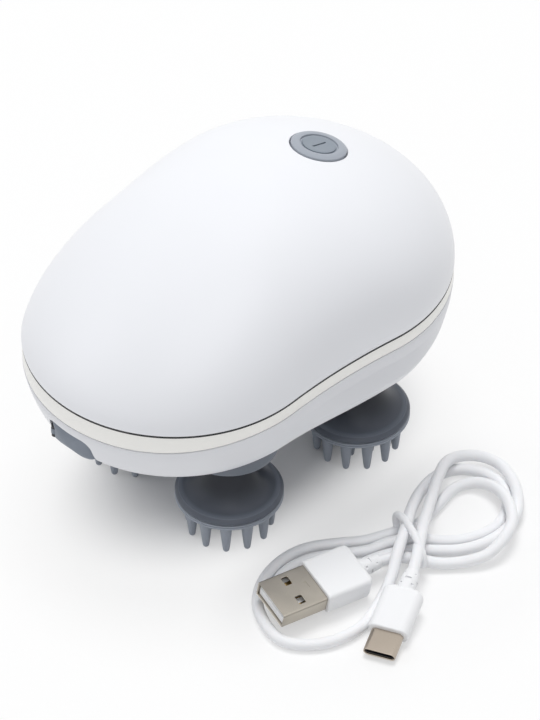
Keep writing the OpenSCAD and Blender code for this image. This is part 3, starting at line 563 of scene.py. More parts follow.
def makeWidePlug(s, plastic):
    place = plugFrame(s)
    metal = nickelPlate("widePlugNickel", s["metal"], s["metalRoughness"])
    shell = piece("widePlugShell", moved(hollowShell(s, s["edge"]), place), metal, "case",
                  ["wide_plug_shell"], sharp=28)
    top = s["height"] / 2
    holes = [roundedHole((side * s["windowSpread"], s["windowY"], face * top), s["windowSize"],
                         s["windowCorner"], s["punch"]) for side in (-1, 1) for face in (-1, 1)]
    # a shallow dimple behind the windows, and the folded seam along one side
    middle = (0, s["slotY"], top + s["slotLift"])
    holes.append(roundedHole(middle, s["slotSize"], s["slotCorner"], s["punch"]))
    side = s["width"] / 2
    holes.append(block((side - s["foldDepth"], -1, top - s["fold"][0]),
                       (side + 0.5, s["length"] - 0.1, top - s["fold"][1])))
    for hole in holes:
        cut(shell, moved(hole, place), 28)
    inside = makeTongue(s, place)
    grip = piece("widePlugGrip", moved(gripShape(s), place), plastic, "case",
                 ["wide_plug_grip"])
    return [shell, *inside, grip, makeRelief("widePlugRelief", s, place, plastic)]


def makeSmallPlug(s, plastic):
    place = plugFrame(s)
    metal = nickelPlate("smallPlugNickel", s["metal"], s["metalRoughness"])
    shell = piece("smallPlugShell", moved(hollowShell(s, s["height"] / 2 - 0.01), place), metal, "case",
                  ["small_plug_shell"])
    inner = s["height"] / 2 - s["wall"] - s["coreGap"]
    wide = s["width"] - 2 * s["wall"] - 2 * s["coreGap"]
    rings = [roundedLoop(wide - 2 * drawn, 2 * (inner - drawn), inner - drawn - s["flat"], y)
             for drawn, y in s["core"]]
    black = grained("coreBlack", (0.008, 0.009, 0.012), (0.02, 0.022, 0.028), 0.4, 0.15, 0.3)
    core = piece("smallPlugCore", moved(skin(rings), place), black, "case")
    grip = piece("smallPlugGrip", moved(gripShape(s), place), plastic, "case",
                 ["small_plug_grip"])
    return [shell, core, grip, makeRelief("smallPlugRelief", s, place, plastic)]


def makeTie(s, material):
    turn = shift(*s["at"]) @ Matrix.Rotation(math.radians(s["turn"]), 4, "Z")
    path = []
    for i in range(s["steps"]):
        a = 2 * math.pi * i / s["steps"]
        path.append(turn @ Vector((s["half"] * math.cos(a), 0, s["halfHeight"] * math.sin(a))))
    return piece("leadTie", tube(path, s["radius"], 16, True), material, "case", ["lead_tie"])


plugMaterial = plugPlastic(plugPlasticSet)
widePieces = makeWidePlug(widePlugSet, plugMaterial)
smallPieces = makeSmallPlug(smallPlugSet, plugMaterial)
tie = makeTie(tieSet, cable.data.materials[0])
tuple(cableLine[0] * milli)
[tuple(p * milli) for p in cableLine]
widePieces + smallPieces + [tie]
print("plugs and tie made")


planSet = {
    "frontR": 38.5, "rearR": 38.7, "lobeGap": 41.8, "waistR": 176,
    "endSteps": 44, "waistSteps": 26,
}


def planSide(s, inset):
    # one side of the outline, from the rear pole to the front pole
    frontY = -s["lobeGap"] / 2 + (s["frontR"] - s["rearR"]) / 2
    rearY = frontY + s["lobeGap"]
    frontReach, rearReach = s["frontR"] + s["waistR"], s["rearR"] + s["waistR"]
    waistY = ((frontReach ** 2 - rearReach ** 2) - (frontY ** 2 - rearY ** 2)) / (2 * (rearY - frontY))
    waistX = math.sqrt(frontReach ** 2 - (waistY - frontY) ** 2)
    rearEnd = math.atan2(waistX, waistY - rearY)
    frontStart = math.atan2(waistX, waistY - frontY)
    side = []
    for i in range(s["endSteps"]):
        a, r = rearEnd * i / s["endSteps"], s["rearR"] - inset
        side.append((r * math.sin(a), rearY + r * math.cos(a)))
    for i in range(s["waistSteps"]):
        a, r = rearEnd + (frontStart - rearEnd) * i / s["waistSteps"], s["waistR"] + inset
        side.append((waistX - r * math.sin(a), waistY - r * math.cos(a)))
    for i in range(s["endSteps"] + 1):
        a, r = frontStart + (math.pi - frontStart) * i / s["endSteps"], s["frontR"] - inset
        side.append((r * math.sin(a), frontY + r * math.cos(a)))
    return side


def bothSides(side):
    return side + [(-x, y) for x, y in side[-2:0:-1]]


def planRing(inset, z):
    return [(x, y, z) for x, y in bothSides(planSide(planSet, inset))]


domeSet = {
    "seam": 52.4, "height": 35.5, "wall": 2.2,
    "ovalX": 45.4, "ovalY": 57.2, "middleY": 14.5, "crownBack": -5.9, "blend": 0.88,
    "levelX": (2.04, 2.03), "levelY": (1.67, 1.9),
    "steps": 60, "innerSteps": 14, "crown": 86,
    "rim": 0.14, "lift": 0.18,
    "colour": (0.845, 0.855, 0.89), "roughness": 0.36,
}
buttonSet = {
    "y": 26.8, "z": 85.5, "lean": 15, "radius": 7.1, "gap": 0.3,
    "crown": 0.3, "dish": 0.14, "bulge": 0.34, "edge": 0.4,
    "ringRadius": 4.55, "ringWidth": 0.55, "ringDepth": 0.45,
    "markLength": 4.6, "markWidth": 0.52, "markDepth": 0.35,
    "flangeOut": 0.9, "flangeHeight": 1.0, "flangeTop": -7.15, "stem": 1.6, "stemEnd": -9.15,
    "sunk": 0.08, "swellFrom": 0.55, "round": 0.14,
    # the opening in the casing, from the gap outwards and up, and the sleeve below it
    "mouth": [(0, -0.85), (0.05, -0.68), (0.16, -0.52), (0.34, -0.4), (0.6, -0.34)],
    "sleeve": [(0, -7), (1.5, -7), (1.5, -2.4), (0, -2.2)],
    # the disc colour carries painted shade and the rim colour painted light
    "colour": (0.225, 0.26, 0.305), "litRimColour": (0.35, 0.38, 0.43), "roughness": 0.42,
}


def domeRing(s, t, inset, rise):
    ring = []
    for x, y in bothSides(planSide(planSet, inset)):
        vx, vy = x, y - s["middleY"]
        f = math.atan2(vx / (s["ovalX"] - inset), vy / (s["ovalY"] - inset))
        along = math.cos(f) ** 2
        draw = ((1 - t ** s["levelX"][0]) ** (1 / s["levelX"][1]) * (1 - along)
                + (1 - t ** s["levelY"][0]) ** (1 / s["levelY"][1]) * along)
        w = s["blend"] * t
        ring.append((draw * ((1 - w) * vx + w * (s["ovalX"] - inset) * math.sin(f)),
                     draw * ((1 - w) * vy + w * (s["ovalY"] - inset) * math.cos(f)) + s["middleY"]
                     + s["crownBack"] * t, s["seam"] + rise * t))
    return ring


def pearlPlastic(s):
    # satin pearl lacquer: a cool sheen, a very fine orange peel, barely uneven gloss
    paint = Paint("pearlPlastic")
    cloud = paint.noise(26, 2)
    peel = paint.noise(0.9, 2)
    grain = paint.noise(0.16, 2)
    tone = paint.blend(cloud, shade(s["colour"], 0.985), shade(s["colour"], 1.01))
    return paint.surface(Base_Color=tone, Roughness=grain * 0.06 + (s["roughness"] - 0.03) + cloud * 0.02,
                         Normal=paint.bump(grain + peel * 2, 0.004, 0.35),
                         Coat_Weight=0.25, Coat_Roughness=0.28, Sheen_Weight=0.05)


def buttonFrame(s):
    return shift(0, s["y"], s["z"]) @ Matrix.Rotation(math.radians(-s["lean"]), 4, "X")


def makeTopShell(s, b):
    def risen(i, steps):
        return math.sin(math.radians(s["crown"] * i / steps))

    rings = [domeRing(s, risen(i, s["steps"]), 0, s["height"]) for i in range(s["steps"], 0, -1)]
    for inset, up in ((0.0, s["rim"]), (s["rim"] * 0.3, s["rim"] * 0.3), (s["rim"], 0), (s["wall"], 0)):
        rings.append(planRing(inset, s["seam"] + s["lift"] + up))
    rings += [domeRing(s, risen(i, s["innerSteps"]), s["wall"], s["height"] - s["wall"])
              for i in range(1, s["innerSteps"] + 1)]
    made = piece("topShell", skin(rings), pearlPlastic(s), "case", ["top_shell"], sharp=30)
    hole = b["radius"] + b["gap"]
    mouth = [(hole + out, up) for out, up in b["mouth"]]
    opening = lathe([(0, -12), (hole, -12), *mouth, (mouth[-1][0], 4), (0, 4)], 128)
    cut(made, moved(opening, buttonFrame(b)), 30)
    # the sleeve guides the button down through the wall
    sleeve = lathe([(hole + out, up) for out, up in b["sleeve"]], 96, True)
    piece("buttonSleeve", moved(sleeve, buttonFrame(b)), made.data.materials[0], "case")


makeTopShell(domeSet, buttonSet)
print("top shell made")


def buttonPlastic(s):
    # satin slate plastic, with painted light: its dished disc painted darker as shade, the rim round it
    # painted lighter as lit
    paint = Paint("buttonPlastic")
    grain = paint.noise(0.25, 3)
    cloud = paint.noise(4, 2)
    middle = tuple(c * milli for c in buttonFrame(s) @ Vector((0, 0, s["crown"])))
    apart = paint.node("ShaderNodeVectorMath", {"operation": "DISTANCE"}, {0: paint.place(), 1: middle})[1]
    # painted light: lighter outside the ring, darker on the disc inside it
    base = paint.blend(apart.above(s["ringRadius"] * milli, 0.12 * milli), s["colour"], s["litRimColour"])
    tone = paint.blend(cloud * 0.2, base, s["litRimColour"])
    return paint.surface(Base_Color=tone, Roughness=grain * 0.12 + (s["roughness"] - 0.06),
                         Normal=paint.bump(grain, 0.012, 0.5))


def makeButton(s):
    top = s["crown"]
    ringIn, ringOut = s["ringRadius"] - s["ringWidth"] / 2, s["ringRadius"] + s["ringWidth"] / 2
    rim, start = s["radius"] - s["edge"], ringOut + s["round"]

    def discAt(r):
        return top - s["dish"] * (1 - (r / ringIn) ** 2) - s["sunk"]

    def ringAt(r):
        # the outer ring swells between the groove and the edge
        swell = ringOut + s["swellFrom"]
        return top - s["bulge"] * ((r - swell) / (rim - swell)) ** 2

    profile = [(r, discAt(r)) for r in (0, 0.9, 1.8, 2.6, 3.3, ringIn - s["round"])]
    profile += [(ringIn - 0.03, discAt(ringIn) - 0.05), (ringIn + 0.04, discAt(ringIn) - s["ringDepth"]),
                (ringOut - 0.04, ringAt(ringOut) - s["ringDepth"]), (ringOut + 0.03, ringAt(ringOut) - 0.08)]
    profile += [(r, ringAt(r)) for r in (start + (rim - start) * i / 9 for i in range(9))]
    profile += [(rim + s["edge"] * math.sin(math.radians(a)),
                 ringAt(rim) - s["edge"] * (1 - math.cos(math.radians(a)))) for a in (0, 22, 45, 68, 90)]
    flange, under = s["radius"] + s["flangeOut"], s["flangeTop"] - s["flangeHeight"]
    profile += [(s["radius"], s["flangeTop"]), (flange, s["flangeTop"]), (flange, under), (s["stem"], under),
                (s["stem"], s["stemEnd"]), (0, s["stemEnd"])]
    place = buttonFrame(s)
    made = piece("powerButton", moved(lathe(profile, 128), place), buttonPlastic(s), "button",
                 ["power_button"])
    # the short line in the middle of the ring, round at both ends
    half = s["markLength"] / 2 - s["markWidth"] / 2
    loop = [(x, half + y) for x, y in arc((0, 0), s["markWidth"] / 2, 0, 180, 10)]
    loop += [(x, y - half) for x, y in arc((0, 0), s["markWidth"] / 2, 180, 360, 10)]
    line = skin([[(x, y, z) for x, y in loop] for z in (discAt(0) - s["markDepth"], top + 1)])
    cut(made, moved(line, place))


makeButton(buttonSet)
print("button made")


gasketSet = {"low": 51.98, "high": 52.62, "inset": 0.07, "wall": 2.2}


def makeGasket(s):
    rings = [planRing(inset, z) for inset, z in ((s["inset"], s["low"]), (s["inset"], s["high"]),
                                                 (s["wall"], s["high"]), (s["wall"], s["low"]))]
    rubber = grained("gasketRubber", (0.004, 0.004, 0.005), (0.012, 0.012, 0.014), 0.3, 0.15, 0.5,
                     (0.01, 0.4))
    return piece("seamGasket", closedSkin(rings), rubber, "case", ["seam_gasket"])


bandSet = {"low": 48.6, "high": 52.0, "inset": 0.05, "wall": 2.2, "edge": 0.12,
           "dip": 1.75, "dipFrom": -24, "dipTo": -57,
           "colour": (0.985, 0.975, 0.94), "roughness": 0.3}
tubSet = {
    "top": 48.3, "tier": 4.1, "tub": 9.3, "tierIn": 0.42, "drawIn": (5.5, 3.9), "bend": (0.42, 0.3),
    "belly": 3, "bellyY": 9.5, "bellySpan": 22.5, "wall": 2.2, "steps": (30, 12), "edge": 0.16,
    "crease": (0.96, 0.17),  # share of the step, and its height
    "screws": [(17, -42.5), (-17, -42.5), (14, 45), (-14, 45)], "screwRecess": 2.8, "recessFlare": 0.35,
    "colour": (0.80, 0.808, 0.84), "roughness": 0.36,
}
portSet = {
    "corners": [(6.1, 40.9, 2.4), (-3.1, 40.9, 2.4), (-3.8, 37.3, 1.4), (6.8, 37.3, 1.4)],  # x, z, radius
    "middle": 39.6, "centreX": 1.5, "gap": 0.3, "thickness": 1.5, "backY": -51.5,
    "ringR": 31, "ringY": -21, "ringZ": 39.8, "tubeR": 6.8, "faceR": 14, "faceY": -44.8,
    # the rounding of the face, wide below and narrow above, which takes over from a height
    "edgeLow": 3.0, "edgeHigh": 0.5, "fallLow": 1.6, "fallHigh": 0.35, "highFrom": 40.6, "highSpan": 2.2,
    "rounds": 22,
    "hinge": (-4.6, -57.3727, 39.1), "wrap": 0.9, "pocketR": 1.4, "pocket": 4.2,
    "lug": 0.8, "lugGap": 0.1, "lugPlay": 0.15, "lugRoom": 1.08,
    "knuckle": 1.6, "knuckleR": 0.95, "knuckleEdge": 0.1, "pinR": 0.55,
    "colour": (0.22, 0.25, 0.30), "roughness": 0.5,
}


def casePlastic(name, s, grainSize, cloudSize):
    return mottled(name, s["colour"], s["roughness"], grainSize, cloudSize, (0.985, 1.01), 0.08,
                   (0.008, 0.4), detail=2)


def dipped(ring):
    # the band's lower edge sinks towards the front end
    start, end = bandSet["dipFrom"], bandSet["dipTo"]
    low = []
    for x, y, z in ring:
        u = min(1, max(0, (y - start) / (end - start)))
        low.append((x, y, z - bandSet["dip"] * u * u * (3 - 2 * u)))
    return low


def makeBand(s):
    def turned(degrees):
        # in and up from the rounded edge's outermost point
        a = math.radians(degrees)
        return s["inset"] + s["edge"] * (1 - math.cos(a)), s["edge"] * (1 - math.sin(a))

    rings = [planRing(inset, s["high"] - up) for inset, up in map(turned, (0, 30, 60, 90))]
    rings += [planRing(s["wall"], s["high"]), dipped(planRing(s["wall"], s["low"]))]
    rings += [dipped(planRing(inset, s["low"] + up)) for inset, up in map(turned, (90, 60, 30, 0))]
    piece("trimBand", closedSkin(rings), casePlastic("creamPlastic", s, 0.2, 18), "case",
          ["trim_band"], sharp=40)


def tubRing(s, inset, share, z):
    side = []
    for x, y in planSide(planSet, inset):
        swell = s["belly"] * math.exp(-((y - s["bellyY"]) / s["bellySpan"]) ** 2) * share
        side.append((x + swell * min(1, x / 6), y))
    return [(x, y, z) for x, y in bothSides(side)]


def portLoop(s, grow, steps=12):
    # the port's outline as (x, z): four arcs joined by straight lines
    loop = []
    for x, z, r in s["corners"]:
        start = math.degrees(math.atan2(z - s["middle"], x))
        first = 0 if start > 0 and x > 0 else 90 if start > 0 else 180 if x < 0 else 270
        loop += arc((x, z), r + grow, first, first + 90, steps)
    return loop


def pillowY(s, x, z, depth):
    # front of the cover's bulging surface, drawn in by a depth
    lift = max((s["tubeR"] - depth) ** 2 - (z - s["ringZ"]) ** 2, 0.04)
    ring = s["ringY"] - math.sqrt((s["ringR"] + math.sqrt(lift)) ** 2 - x * x)
    face = s["faceY"] - math.sqrt((s["faceR"] - depth) ** 2 - x * x)
    return max(ring, face)


def makeLowerShell(s, p):
    creaseZ = s["top"] - s["tier"]
    edge = s["edge"]
    outside = [dipped(planRing(inset, s["top"] - drop))
               for inset, drop in ((edge, 0), (edge * 0.3, edge * 0.3), (0, edge))]
    inside = [dipped(planRing(s["wall"], s["top"]))]
    for kind, (wall, rings) in enumerate(((0, outside), (s["wall"], inside))):
        rings.append(tubRing(s, wall + s["tierIn"] * s["crease"][0], 0, creaseZ + s["crease"][1]))
        rings.append(tubRing(s, wall + s["tierIn"], 0, creaseZ))
        for i in range(1, s["steps"][kind] + 1):
            u = math.sin(math.radians(90 * i / s["steps"][kind]))
            drawn = s["drawIn"][kind] * (1 - (1 - min(u, 1)) ** s["bend"][kind])
            rings.append(tubRing(s, wall + s["tierIn"] + drawn, min(1, 2 * u),
                                 creaseZ - (s["tub"] - wall) * u))
    made = piece("lowerShell", skin(inside[::-1] + outside), casePlastic("tubPlastic", s, 0.18, 22), "case",
                 ["lower_shell"], sharp=50)
    opening = skin([[(x, y, z) for x, z in portLoop(p, p["gap"])] for y in (p["backY"] - 20, p["backY"])])
    pocket = drum(p["pocketR"], -p["pocket"] / 2, p["pocket"] / 2, 40)
    base, bore = creaseZ - s["tub"], s["screwRecess"]
    flare = bore + s["recessFlare"]
    recess = lathe([(0, base - 1), (flare, base - 1), (flare, base - 0.02), (bore, base + 0.25),
                    (bore, base + 6), (0, base + 6)], 48)
    for hole in [opening, moved(pocket, shift(*p["hinge"]))] + [moved(recess, shift(x, y, 0))
                                                                for x, y in s["screws"]]:
        cut(made, hole, 40)


def coverRubber(s):
    # soft-touch rubber with a fine moulded grain
    return mottled("coverRubber", s["colour"], s["roughness"], 0.22, 3, (0.94, 1.06), 0.12, (0.015, 0.6))


def makePortCover(s):
    # a bulging flap: rings run from its middle to its outline over the face, and back behind it
    left = s["hinge"][0] - s["wrap"]
    loop = [(max(x, left), z) for x, z in portLoop(s, 0, 16)]
    edges = [(Vector(a), Vector(b)) for a, b in zip(loop, loop[1:] + loop[:1])]

    def rimGap(x, z):
        # how far a point of the face is from the outline
        spot = Vector((x, z))
        gaps = []
        for a, b in edges:
            along = b - a
            if along.length > 1e-6 and not (a.x < left + 0.01 and b.x < left + 0.01):
                t = min(1, max(0, (spot - a).dot(along) / along.length_squared))
                gaps.append((spot - a - along * t).length)
        return min(gaps)

    def ringAt(share, depth, rounded):
        ring = []
        for x, z in loop:
            px, pz = s["centreX"] + (x - s["centreX"]) * share, s["middle"] + (z - s["middle"]) * share
            high = min(1, max(0, (pz - s["highFrom"]) / s["highSpan"]))
            edge = s["edgeLow"] + (s["edgeHigh"] - s["edgeLow"]) * high
            fall = s["fallLow"] + (s["fallHigh"] - s["fallLow"]) * high
            near = 1 - min(rimGap(px, pz) / edge, 1)
            drop = fall * (1 - math.sqrt(max(0, 1 - near * near))) if rounded else 0
            ring.append((px, pillowY(s, px, pz, depth) + drop, pz))
        return ring

    rings = [ringAt(math.sin(math.radians(90 * i / s["rounds"])), 0, True) for i in range(1, s["rounds"] + 1)]
    rings += [ringAt(share, s["thickness"], False) for share in (1, 0.75, 0.4, 0.1)]
    made = piece("portCover", skin(rings), coverRubber(s), "port_flap", ["port_cover"],
                 sharp=40)
    for side in (-1, 1):
        # room for the two lugs that hold the pin
        middle = side * ((s["knuckle"] + s["lug"]) / 2 + s["lugGap"])
        half = s["lug"] / 2 + s["lugPlay"]
        cut(made, moved(drum(s["lugRoom"], middle - half, middle + half, 48), shift(*s["hinge"])), 40)
    high, out, edge = s["knuckle"] / 2, s["knuckleR"], s["knuckleEdge"]
    knuckle = lathe([(s["pinR"], -high), (out - edge, -high), (out, edge - high), (out, high - edge),
                     (out - edge, high), (s["pinR"], high)], 32, True)
    piece("portKnuckle", moved(knuckle, shift(*s["hinge"])), made.data.materials[0], "port_flap")


seamGasket = makeGasket(gasketSet)
makeBand(bandSet)
makeLowerShell(tubSet, portSet)
makePortCover(portSet)
print("gasket, band, lower shell and port cover made")


headSet = {
    "gap": 28.8, "bearing": 50, "trainY": 1.3,
    "turns": {"front_right": 13, "front_left": 22, "rear_right": 2, "rear_left": 8},  # degrees
    "dishR": 12.54, "dishZ": 13.24, "stemR": 5.4, "stemZ": 26.57, "flare": (2.2, 1.36), "dishSteps": 28,
    "outerProngs": 12, "innerProngs": 6, "ringRadius": 10.4, "padZ": 9.4,
    "prongR": 1.68, "prongRoot": (0.15, 0.55), "prongBow": 0.85, "tipR": 0.85,
    # the dish colour is painted shade, for the body's shadow over the dish
    "plateColour": (0.122, 0.137, 0.168), "dishShadeColour": (0.018, 0.02, 0.027),
    # the turn colour is a painted highlight along the rim's crisp turn
    "turnHighlightColour": (0.21, 0.235, 0.28),
    # where the painted dish shade, and the painted highlight on the turn's inner and outer side and its
    # height, fade, each with a soft width
    "dishShadeFade": (9.6, 3.4), "highlightIn": (11.9, 0.6), "highlightOut": (12.85, 0.15), "highlightUp": (12.95, 0.1),
    "plateRoughness": 0.36,
    "padColour": (0.36, 0.395, 0.455), "padRoughness": 0.48,
    "collarColour": (0.16, 0.18, 0.215), "collarRoughness": 0.42,
}


def headSpot(s):
    # a head's axis, sideways and endways from the middle of the four
    bearing = math.radians(s["bearing"])
    return s["gap"] * math.cos(bearing), s["gap"] * math.sin(bearing)


def headPlastic(s):
    # dark satin slate, with painted shade darkening the dish towards the stem and a painted highlight paler
    # along its crisp turn
    paint = Paint("headPlastic")
    grain = paint.noise(0.3, 3)
    cloud = paint.noise(6, 2)
    across, along, up = paint.node("ShaderNodeSeparateXYZ", {}, {0: paint.place()})
    x, y = headSpot(s)
    out = ((across.size() - x * milli) ** 2 + ((along - s["trainY"] * milli).size() - y * milli) ** 2) ** 0.5

    def over(value, key):
        return value.above(s[key][0] * milli, s[key][1] * milli)

    # painted shade: the dish is darkened towards the stem, where the body shades it
    tone = paint.blend(over(out, "dishShadeFade"), s["dishShadeColour"], s["plateColour"])
    tone = paint.blend(cloud * 0.12, tone, shade(s["plateColour"], 1.3))
    # painted highlight: a paler band along the crisp turn of the rim, on its upper side
    turn = (over(out, "highlightIn") - over(out, "highlightOut")) * over(up, "highlightUp")
    tone = paint.blend(turn, tone, s["turnHighlightColour"])
    return paint.surface(Base_Color=tone, Roughness=grain * 0.12 + (s["plateRoughness"] - 0.06),
                         Specular_IOR_Level=0.25, Normal=paint.bump(grain, 0.01, 0.5))


def padSilicone(s):
    # soft silicone: duller and paler than the plate, a little light passes through it
    return mottled("padSilicone", s["padColour"], s["padRoughness"], 0.35, 5, (0.95, 1.05), 0.1, (0.012, 0.5),
                   Subsurface_Weight=0.08, Subsurface_Radius=(0.0008, 0.0008, 0.001))


def collarPlastic(s):
    return mottled("collarPlastic", s["collarColour"], s["collarRoughness"], 0.3, 6, (0.95, 1.05), 0.12,
                   (0.01, 0.5))


def plateProfile(s):
    # from the seat under the rim, up a sloping shoulder to a crisp turn, down the dish and up the stem
    profile = [(2.0, 12.3), (11.7, 12.3), (11.7, 11.62), (13.2, 11.62), (13.5, 11.7), (13.7, 11.9),
               (13.72, 12.15), (13.6, 12.45), (13.38, 12.75), (13.1, 13.0)]
    profile += arc((12.62, 12.92), 0.36, 34, 88, 6)
    for i in range(1, s["dishSteps"] + 1):
        u = i / s["dishSteps"]
        profile.append((s["stemR"] + (s["dishR"] - s["stemR"]) * (1 - u) ** s["flare"][0],
                        s["dishZ"] + (s["stemZ"] - s["dishZ"]) * u ** s["flare"][1]))
    return profile + [(5.2, 26.75), (2.0, 26.8)]


def padProfile(z):
    # two fine beads with grooves beside them run round the rim
    profile = [(0, z + 0.35), (12.0, z + 0.35), (12.7, z + 0.45), (13.1, z + 0.75)]
    profile += arc((13.42, z + 1.1), 0.32, -80, 80, 7) + [(13.1, z + 1.5)]
    profile += arc((13.46, z + 1.78), 0.24, -80, 80, 7)
    return profile + [(13.1, z + 2.1), (11.7, z + 2.18), (11.7, z + 2.9), (0, z + 2.9)]


def prongShape(s, x, y):
    # a round tip, then a cone that bows out to the pad
    tip, reach = s["tipR"], s["padZ"] - s["tipR"]
    profile = []
    for i in range(7):
        a = math.radians(90 * i / 6)
        profile.append((tip * math.sin(a), tip * (1 - math.cos(a))))
    for i in range(1, 9):
        u = i / 8
        profile.append((tip + (s["prongR"] - tip) * u ** s["prongBow"], tip + reach * u))
    profile.append((s["prongR"] + s["prongRoot"][0], s["padZ"] + s["prongRoot"][1]))
    return moved(lathe(profile, 28), shift(x, y, 0))


def prongSpots(s):
    spots = [(0, 0)]
    for count, radius in ((s["innerProngs"], s["ringRadius"] / 2), (s["outerProngs"], s["ringRadius"])):
        spots += [(radius * math.cos(2 * math.pi * k / count), radius * math.sin(2 * math.pi * k / count))
                  for k in range(count)]
    return spots


def collarProfile():
    # a cup that flares up into the casing, its lip rounded
    return [(4.02, 27.6), (6.0, 27.6), (6.0, 32.5), (10.0, 32.5), (11.0, 27.75), (11.15, 27.6),
            (12.25, 27.6), (12.5, 27.72), (12.6, 27.95), (12.6, 28.9), (12.3, 30.2), (11.6, 33.2),
            (11.4, 34.9), (4.02, 34.9)]


def makeHeads(s):
    plate, pad, collar = headPlastic(s), padSilicone(s), collarPlastic(s)
    x, y = headSpot(s)
    for name, turn in s["turns"].items():
        side = 1 if name.endswith("right") else -1
        end = 1 if name.startswith("rear") else -1
        place = shift(side * x, s["trainY"] + end * y, 0) @ Matrix.Rotation(math.radians(turn), 4, "Z")
        body = name + "_tool"
        piece(name + "Plate", moved(lathe(plateProfile(s), 120, True), place), plate, body,
              [name + "_head"], sharp=42)
        prongs = [prongShape(s, px, py) for px, py in prongSpots(s)]
        piece(name + "Pad", moved(joined(lathe(padProfile(s["padZ"]), 120), *prongs), place), pad, body,
              [name + "_pad"], sharp=60)
        piece(name + "Cup", moved(lathe(collarProfile(), 120, True), place), collar, "case",
              [name + "_collar"])


makeHeads(headSet)
print("heads made")


def moulded(name, colour, roughness, grainSize):
    # filled nylon or acetal: faint flow clouds and a pebbled grain
    return mottled(name, colour, roughness, grainSize, grainSize * 18, (0.9, 1.1), 0.15, (0.02, 0.5))


def turned(name, colour, roughness):
    # drawn or turned metal, with fine lines round and along it
    paint = Paint(name)
    lines = paint.lines(0.5, (1, 1, 8))
    tone = paint.blend(lines, shade(colour, 0.9), shade(colour, 1.08))
    return paint.surface(Base_Color=tone, Metallic=1.0, Roughness=lines * 0.2 + (roughness - 0.1),
                         Normal=paint.bump(lines, 0.006, 0.4))


def boardResist():
    # green resist over a weave, with paler patches where copper runs under it
    paint = Paint("boardResist")
    weave = paint.noise(0.3, 2)
    runs = paint.noise(1.8, 1).above(0.52, 0.02)
    tone = paint.blend(runs, (0.012, 0.10, 0.045), (0.02, 0.17, 0.07))
    return paint.surface(Base_Color=tone, Roughness=weave * 0.15 + 0.3, Normal=paint.bump(runs, 0.03, 0.5))


def cellSleeve():
    paint = Paint("cellSleeve")
    soft = paint.noise(3, 3)
    tone = paint.blend(soft, (0.03, 0.12, 0.26), (0.045, 0.16, 0.33))
    return paint.surface(Base_Color=tone, Roughness=soft * 0.15 + 0.18, Normal=paint.bump(soft, 0.05, 0.4))


def dressSolids():
    finishes = {
        "seal_dark": seamGasket.data.materials[0],
        "board_green": boardResist(),
        "switch_black": moulded("switchBlack", (0.02, 0.02, 0.022), 0.455, 0.3),
        "frame_black": moulded("frameNylon", (0.035, 0.036, 0.04), 0.505, 0.4),
        "deck_grey": moulded("deckNylon", (0.12, 0.125, 0.135), 0.505, 0.4),
        "spring_steel": turned("drawnSteel", (0.55, 0.56, 0.58), 0.3),
        "motor_steel": turned("platedCan", (0.62, 0.63, 0.64), 0.28),
        "pinion_brass": turned("cutBrass", (0.62, 0.44, 0.18), 0.3),
        "bush_brass": turned("sinteredBronze", (0.5, 0.33, 0.15), 0.45),
        "gear_ivory": moulded("gearAcetal", (0.72, 0.68, 0.56), 0.355, 0.5),
        "cell_wrap": cellSleeve(),
    }
    slots = {row["node"]: row["material_slot"] for row in frame["record"]["subparts"]}
    for name, solid in frame["nodes"].items():
        if slots.get(name) in finishes and not solid.hide_render:
            solid.data.materials.clear()
            solid.data.materials.append(finishes[slots[name]])


dressSolids()
print("inner solids dressed")


studioSet = {
    # lengths and places here are in metres
    "floorColour": (0.9, 0.9, 0.902), "floorSize": 6,
    # two ovals that keep their shadow: under the body, and fainter round the lead
    "shadowAt": (0, 0.001), "shadowHalf": (0.038, 0.06), "shadowFade": (0.42, 1.02), "white": 0.82,
    "leadAt": (0.064, 0.002), "leadHalf": (0.032, 0.054), "leadFade": (0.7, 1.3), "leadWhite": 0.45,
    "worldColour": (0.975, 0.985, 1.0), "worldStrength": 0.43,
    "aim": (0, 0, 0.05),
    "lamps": [
        # name, place, size, watts, colour
        ("overhead", (-0.3, 0.3, 1.75), 0.9, 18.6, (1.0, 0.998, 0.99)),
        ("front", (0.53, -0.5, 1.25), 1.0, 2.4, (1.0, 1.0, 1.0)),
        ("side", (-0.9, -1.1, 0.9), 1.0, 2.0, (0.98, 0.99, 1.0)),
    ],
}


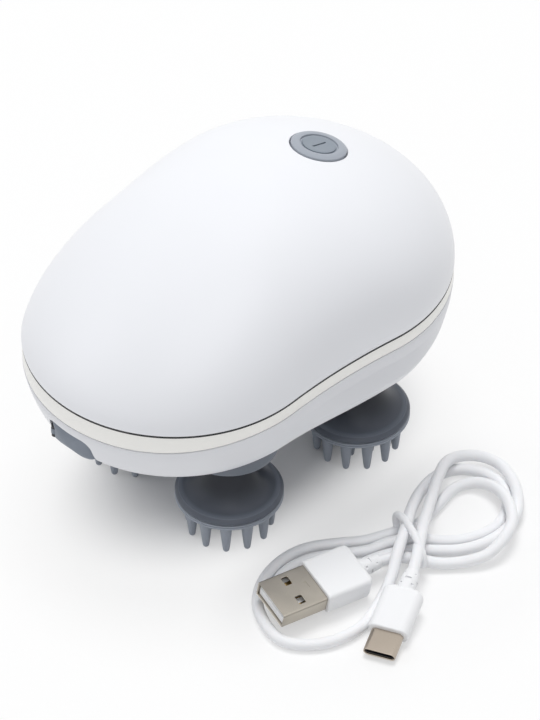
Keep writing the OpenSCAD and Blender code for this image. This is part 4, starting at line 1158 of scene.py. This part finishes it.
def makeFloor(s):
    # a matt sweep: it keeps the shadow under the body, and away from it reads white to the camera
    paint = Paint("studioSweep")
    cloud = paint.noise(300, 2)
    tone = paint.blend(cloud, shade(s["floorColour"], 0.995), s["floorColour"])
    matt = paint.node("ShaderNodeBsdfDiffuse", {}, {"Color": tone})[0]
    glow = paint.node("ShaderNodeEmission", {}, {"Color": (1, 1, 1), "Strength": 1.0})[0]
    across, along, up = paint.node("ShaderNodeSeparateXYZ", {}, {0: paint.place()})

    def outside(key):
        # 0 inside an oval and 1 outside it
        at, half, (start, end) = s[key + "At"], s[key + "Half"], s[key + "Fade"]
        far = (((across - at[0]) / half[0]) ** 2 + ((along - at[1]) / half[1]) ** 2) ** 0.5
        return far.above((start + end) / 2, (end - start) / 2)

    share = outside("lead") * (s["white"] - s["leadWhite"]) + s["leadWhite"]
    white = paint.seen() * (outside("shadow") * share)
    pick = paint.node("ShaderNodeMixShader", {}, {0: white, 1: matt, 2: glow})[0]
    half = s["floorSize"] / 2
    corners = [(-half, -half, 0), (half, -half, 0), (half, half, 0), (-half, half, 0)]
    mesh = bpy.data.meshes.new("floor")
    mesh.from_pydata(corners, [], [(0, 1, 2, 3)])
    mesh.materials.append(paint.finish(pick))
    floor = bpy.data.objects.new("floor", mesh)
    scene.collection.objects.link(floor)


def makeLamps(s):
    for name, place, size, watts, colour in s["lamps"]:
        data = bpy.data.lights.new(name, "AREA")
        data.shape = "DISK"
        data.size = size
        data.energy = watts
        data.color = colour
        lamp = bpy.data.objects.new(name, data)
        lamp.location = place
        lamp.visible_glossy = name != "overhead"  # metal mirrors the white room instead
        aim = Vector(s["aim"]) - Vector(place)
        lamp.rotation_euler = aim.to_track_quat("-Z", "Y").to_euler()
        scene.collection.objects.link(lamp)


def makeWorld(s):
    # soft even light, white where the camera or a reflection looks at it
    paint = Paint("world", True)
    values = {"Color": s["worldColour"], "Strength": s["worldStrength"]}
    soft = paint.node("ShaderNodeBackground", {}, values)[0]
    white = paint.node("ShaderNodeBackground", {}, {"Color": (1, 1, 1), "Strength": 1.0})[0]
    scene.world = paint.finish(paint.node("ShaderNodeMixShader", {}, {0: paint.seen(), 1: soft, 2: white})[0])


makeFloor(studioSet)
makeLamps(studioSet)
makeWorld(studioSet)
scene.view_settings.view_transform = "Standard"
print("studio set")
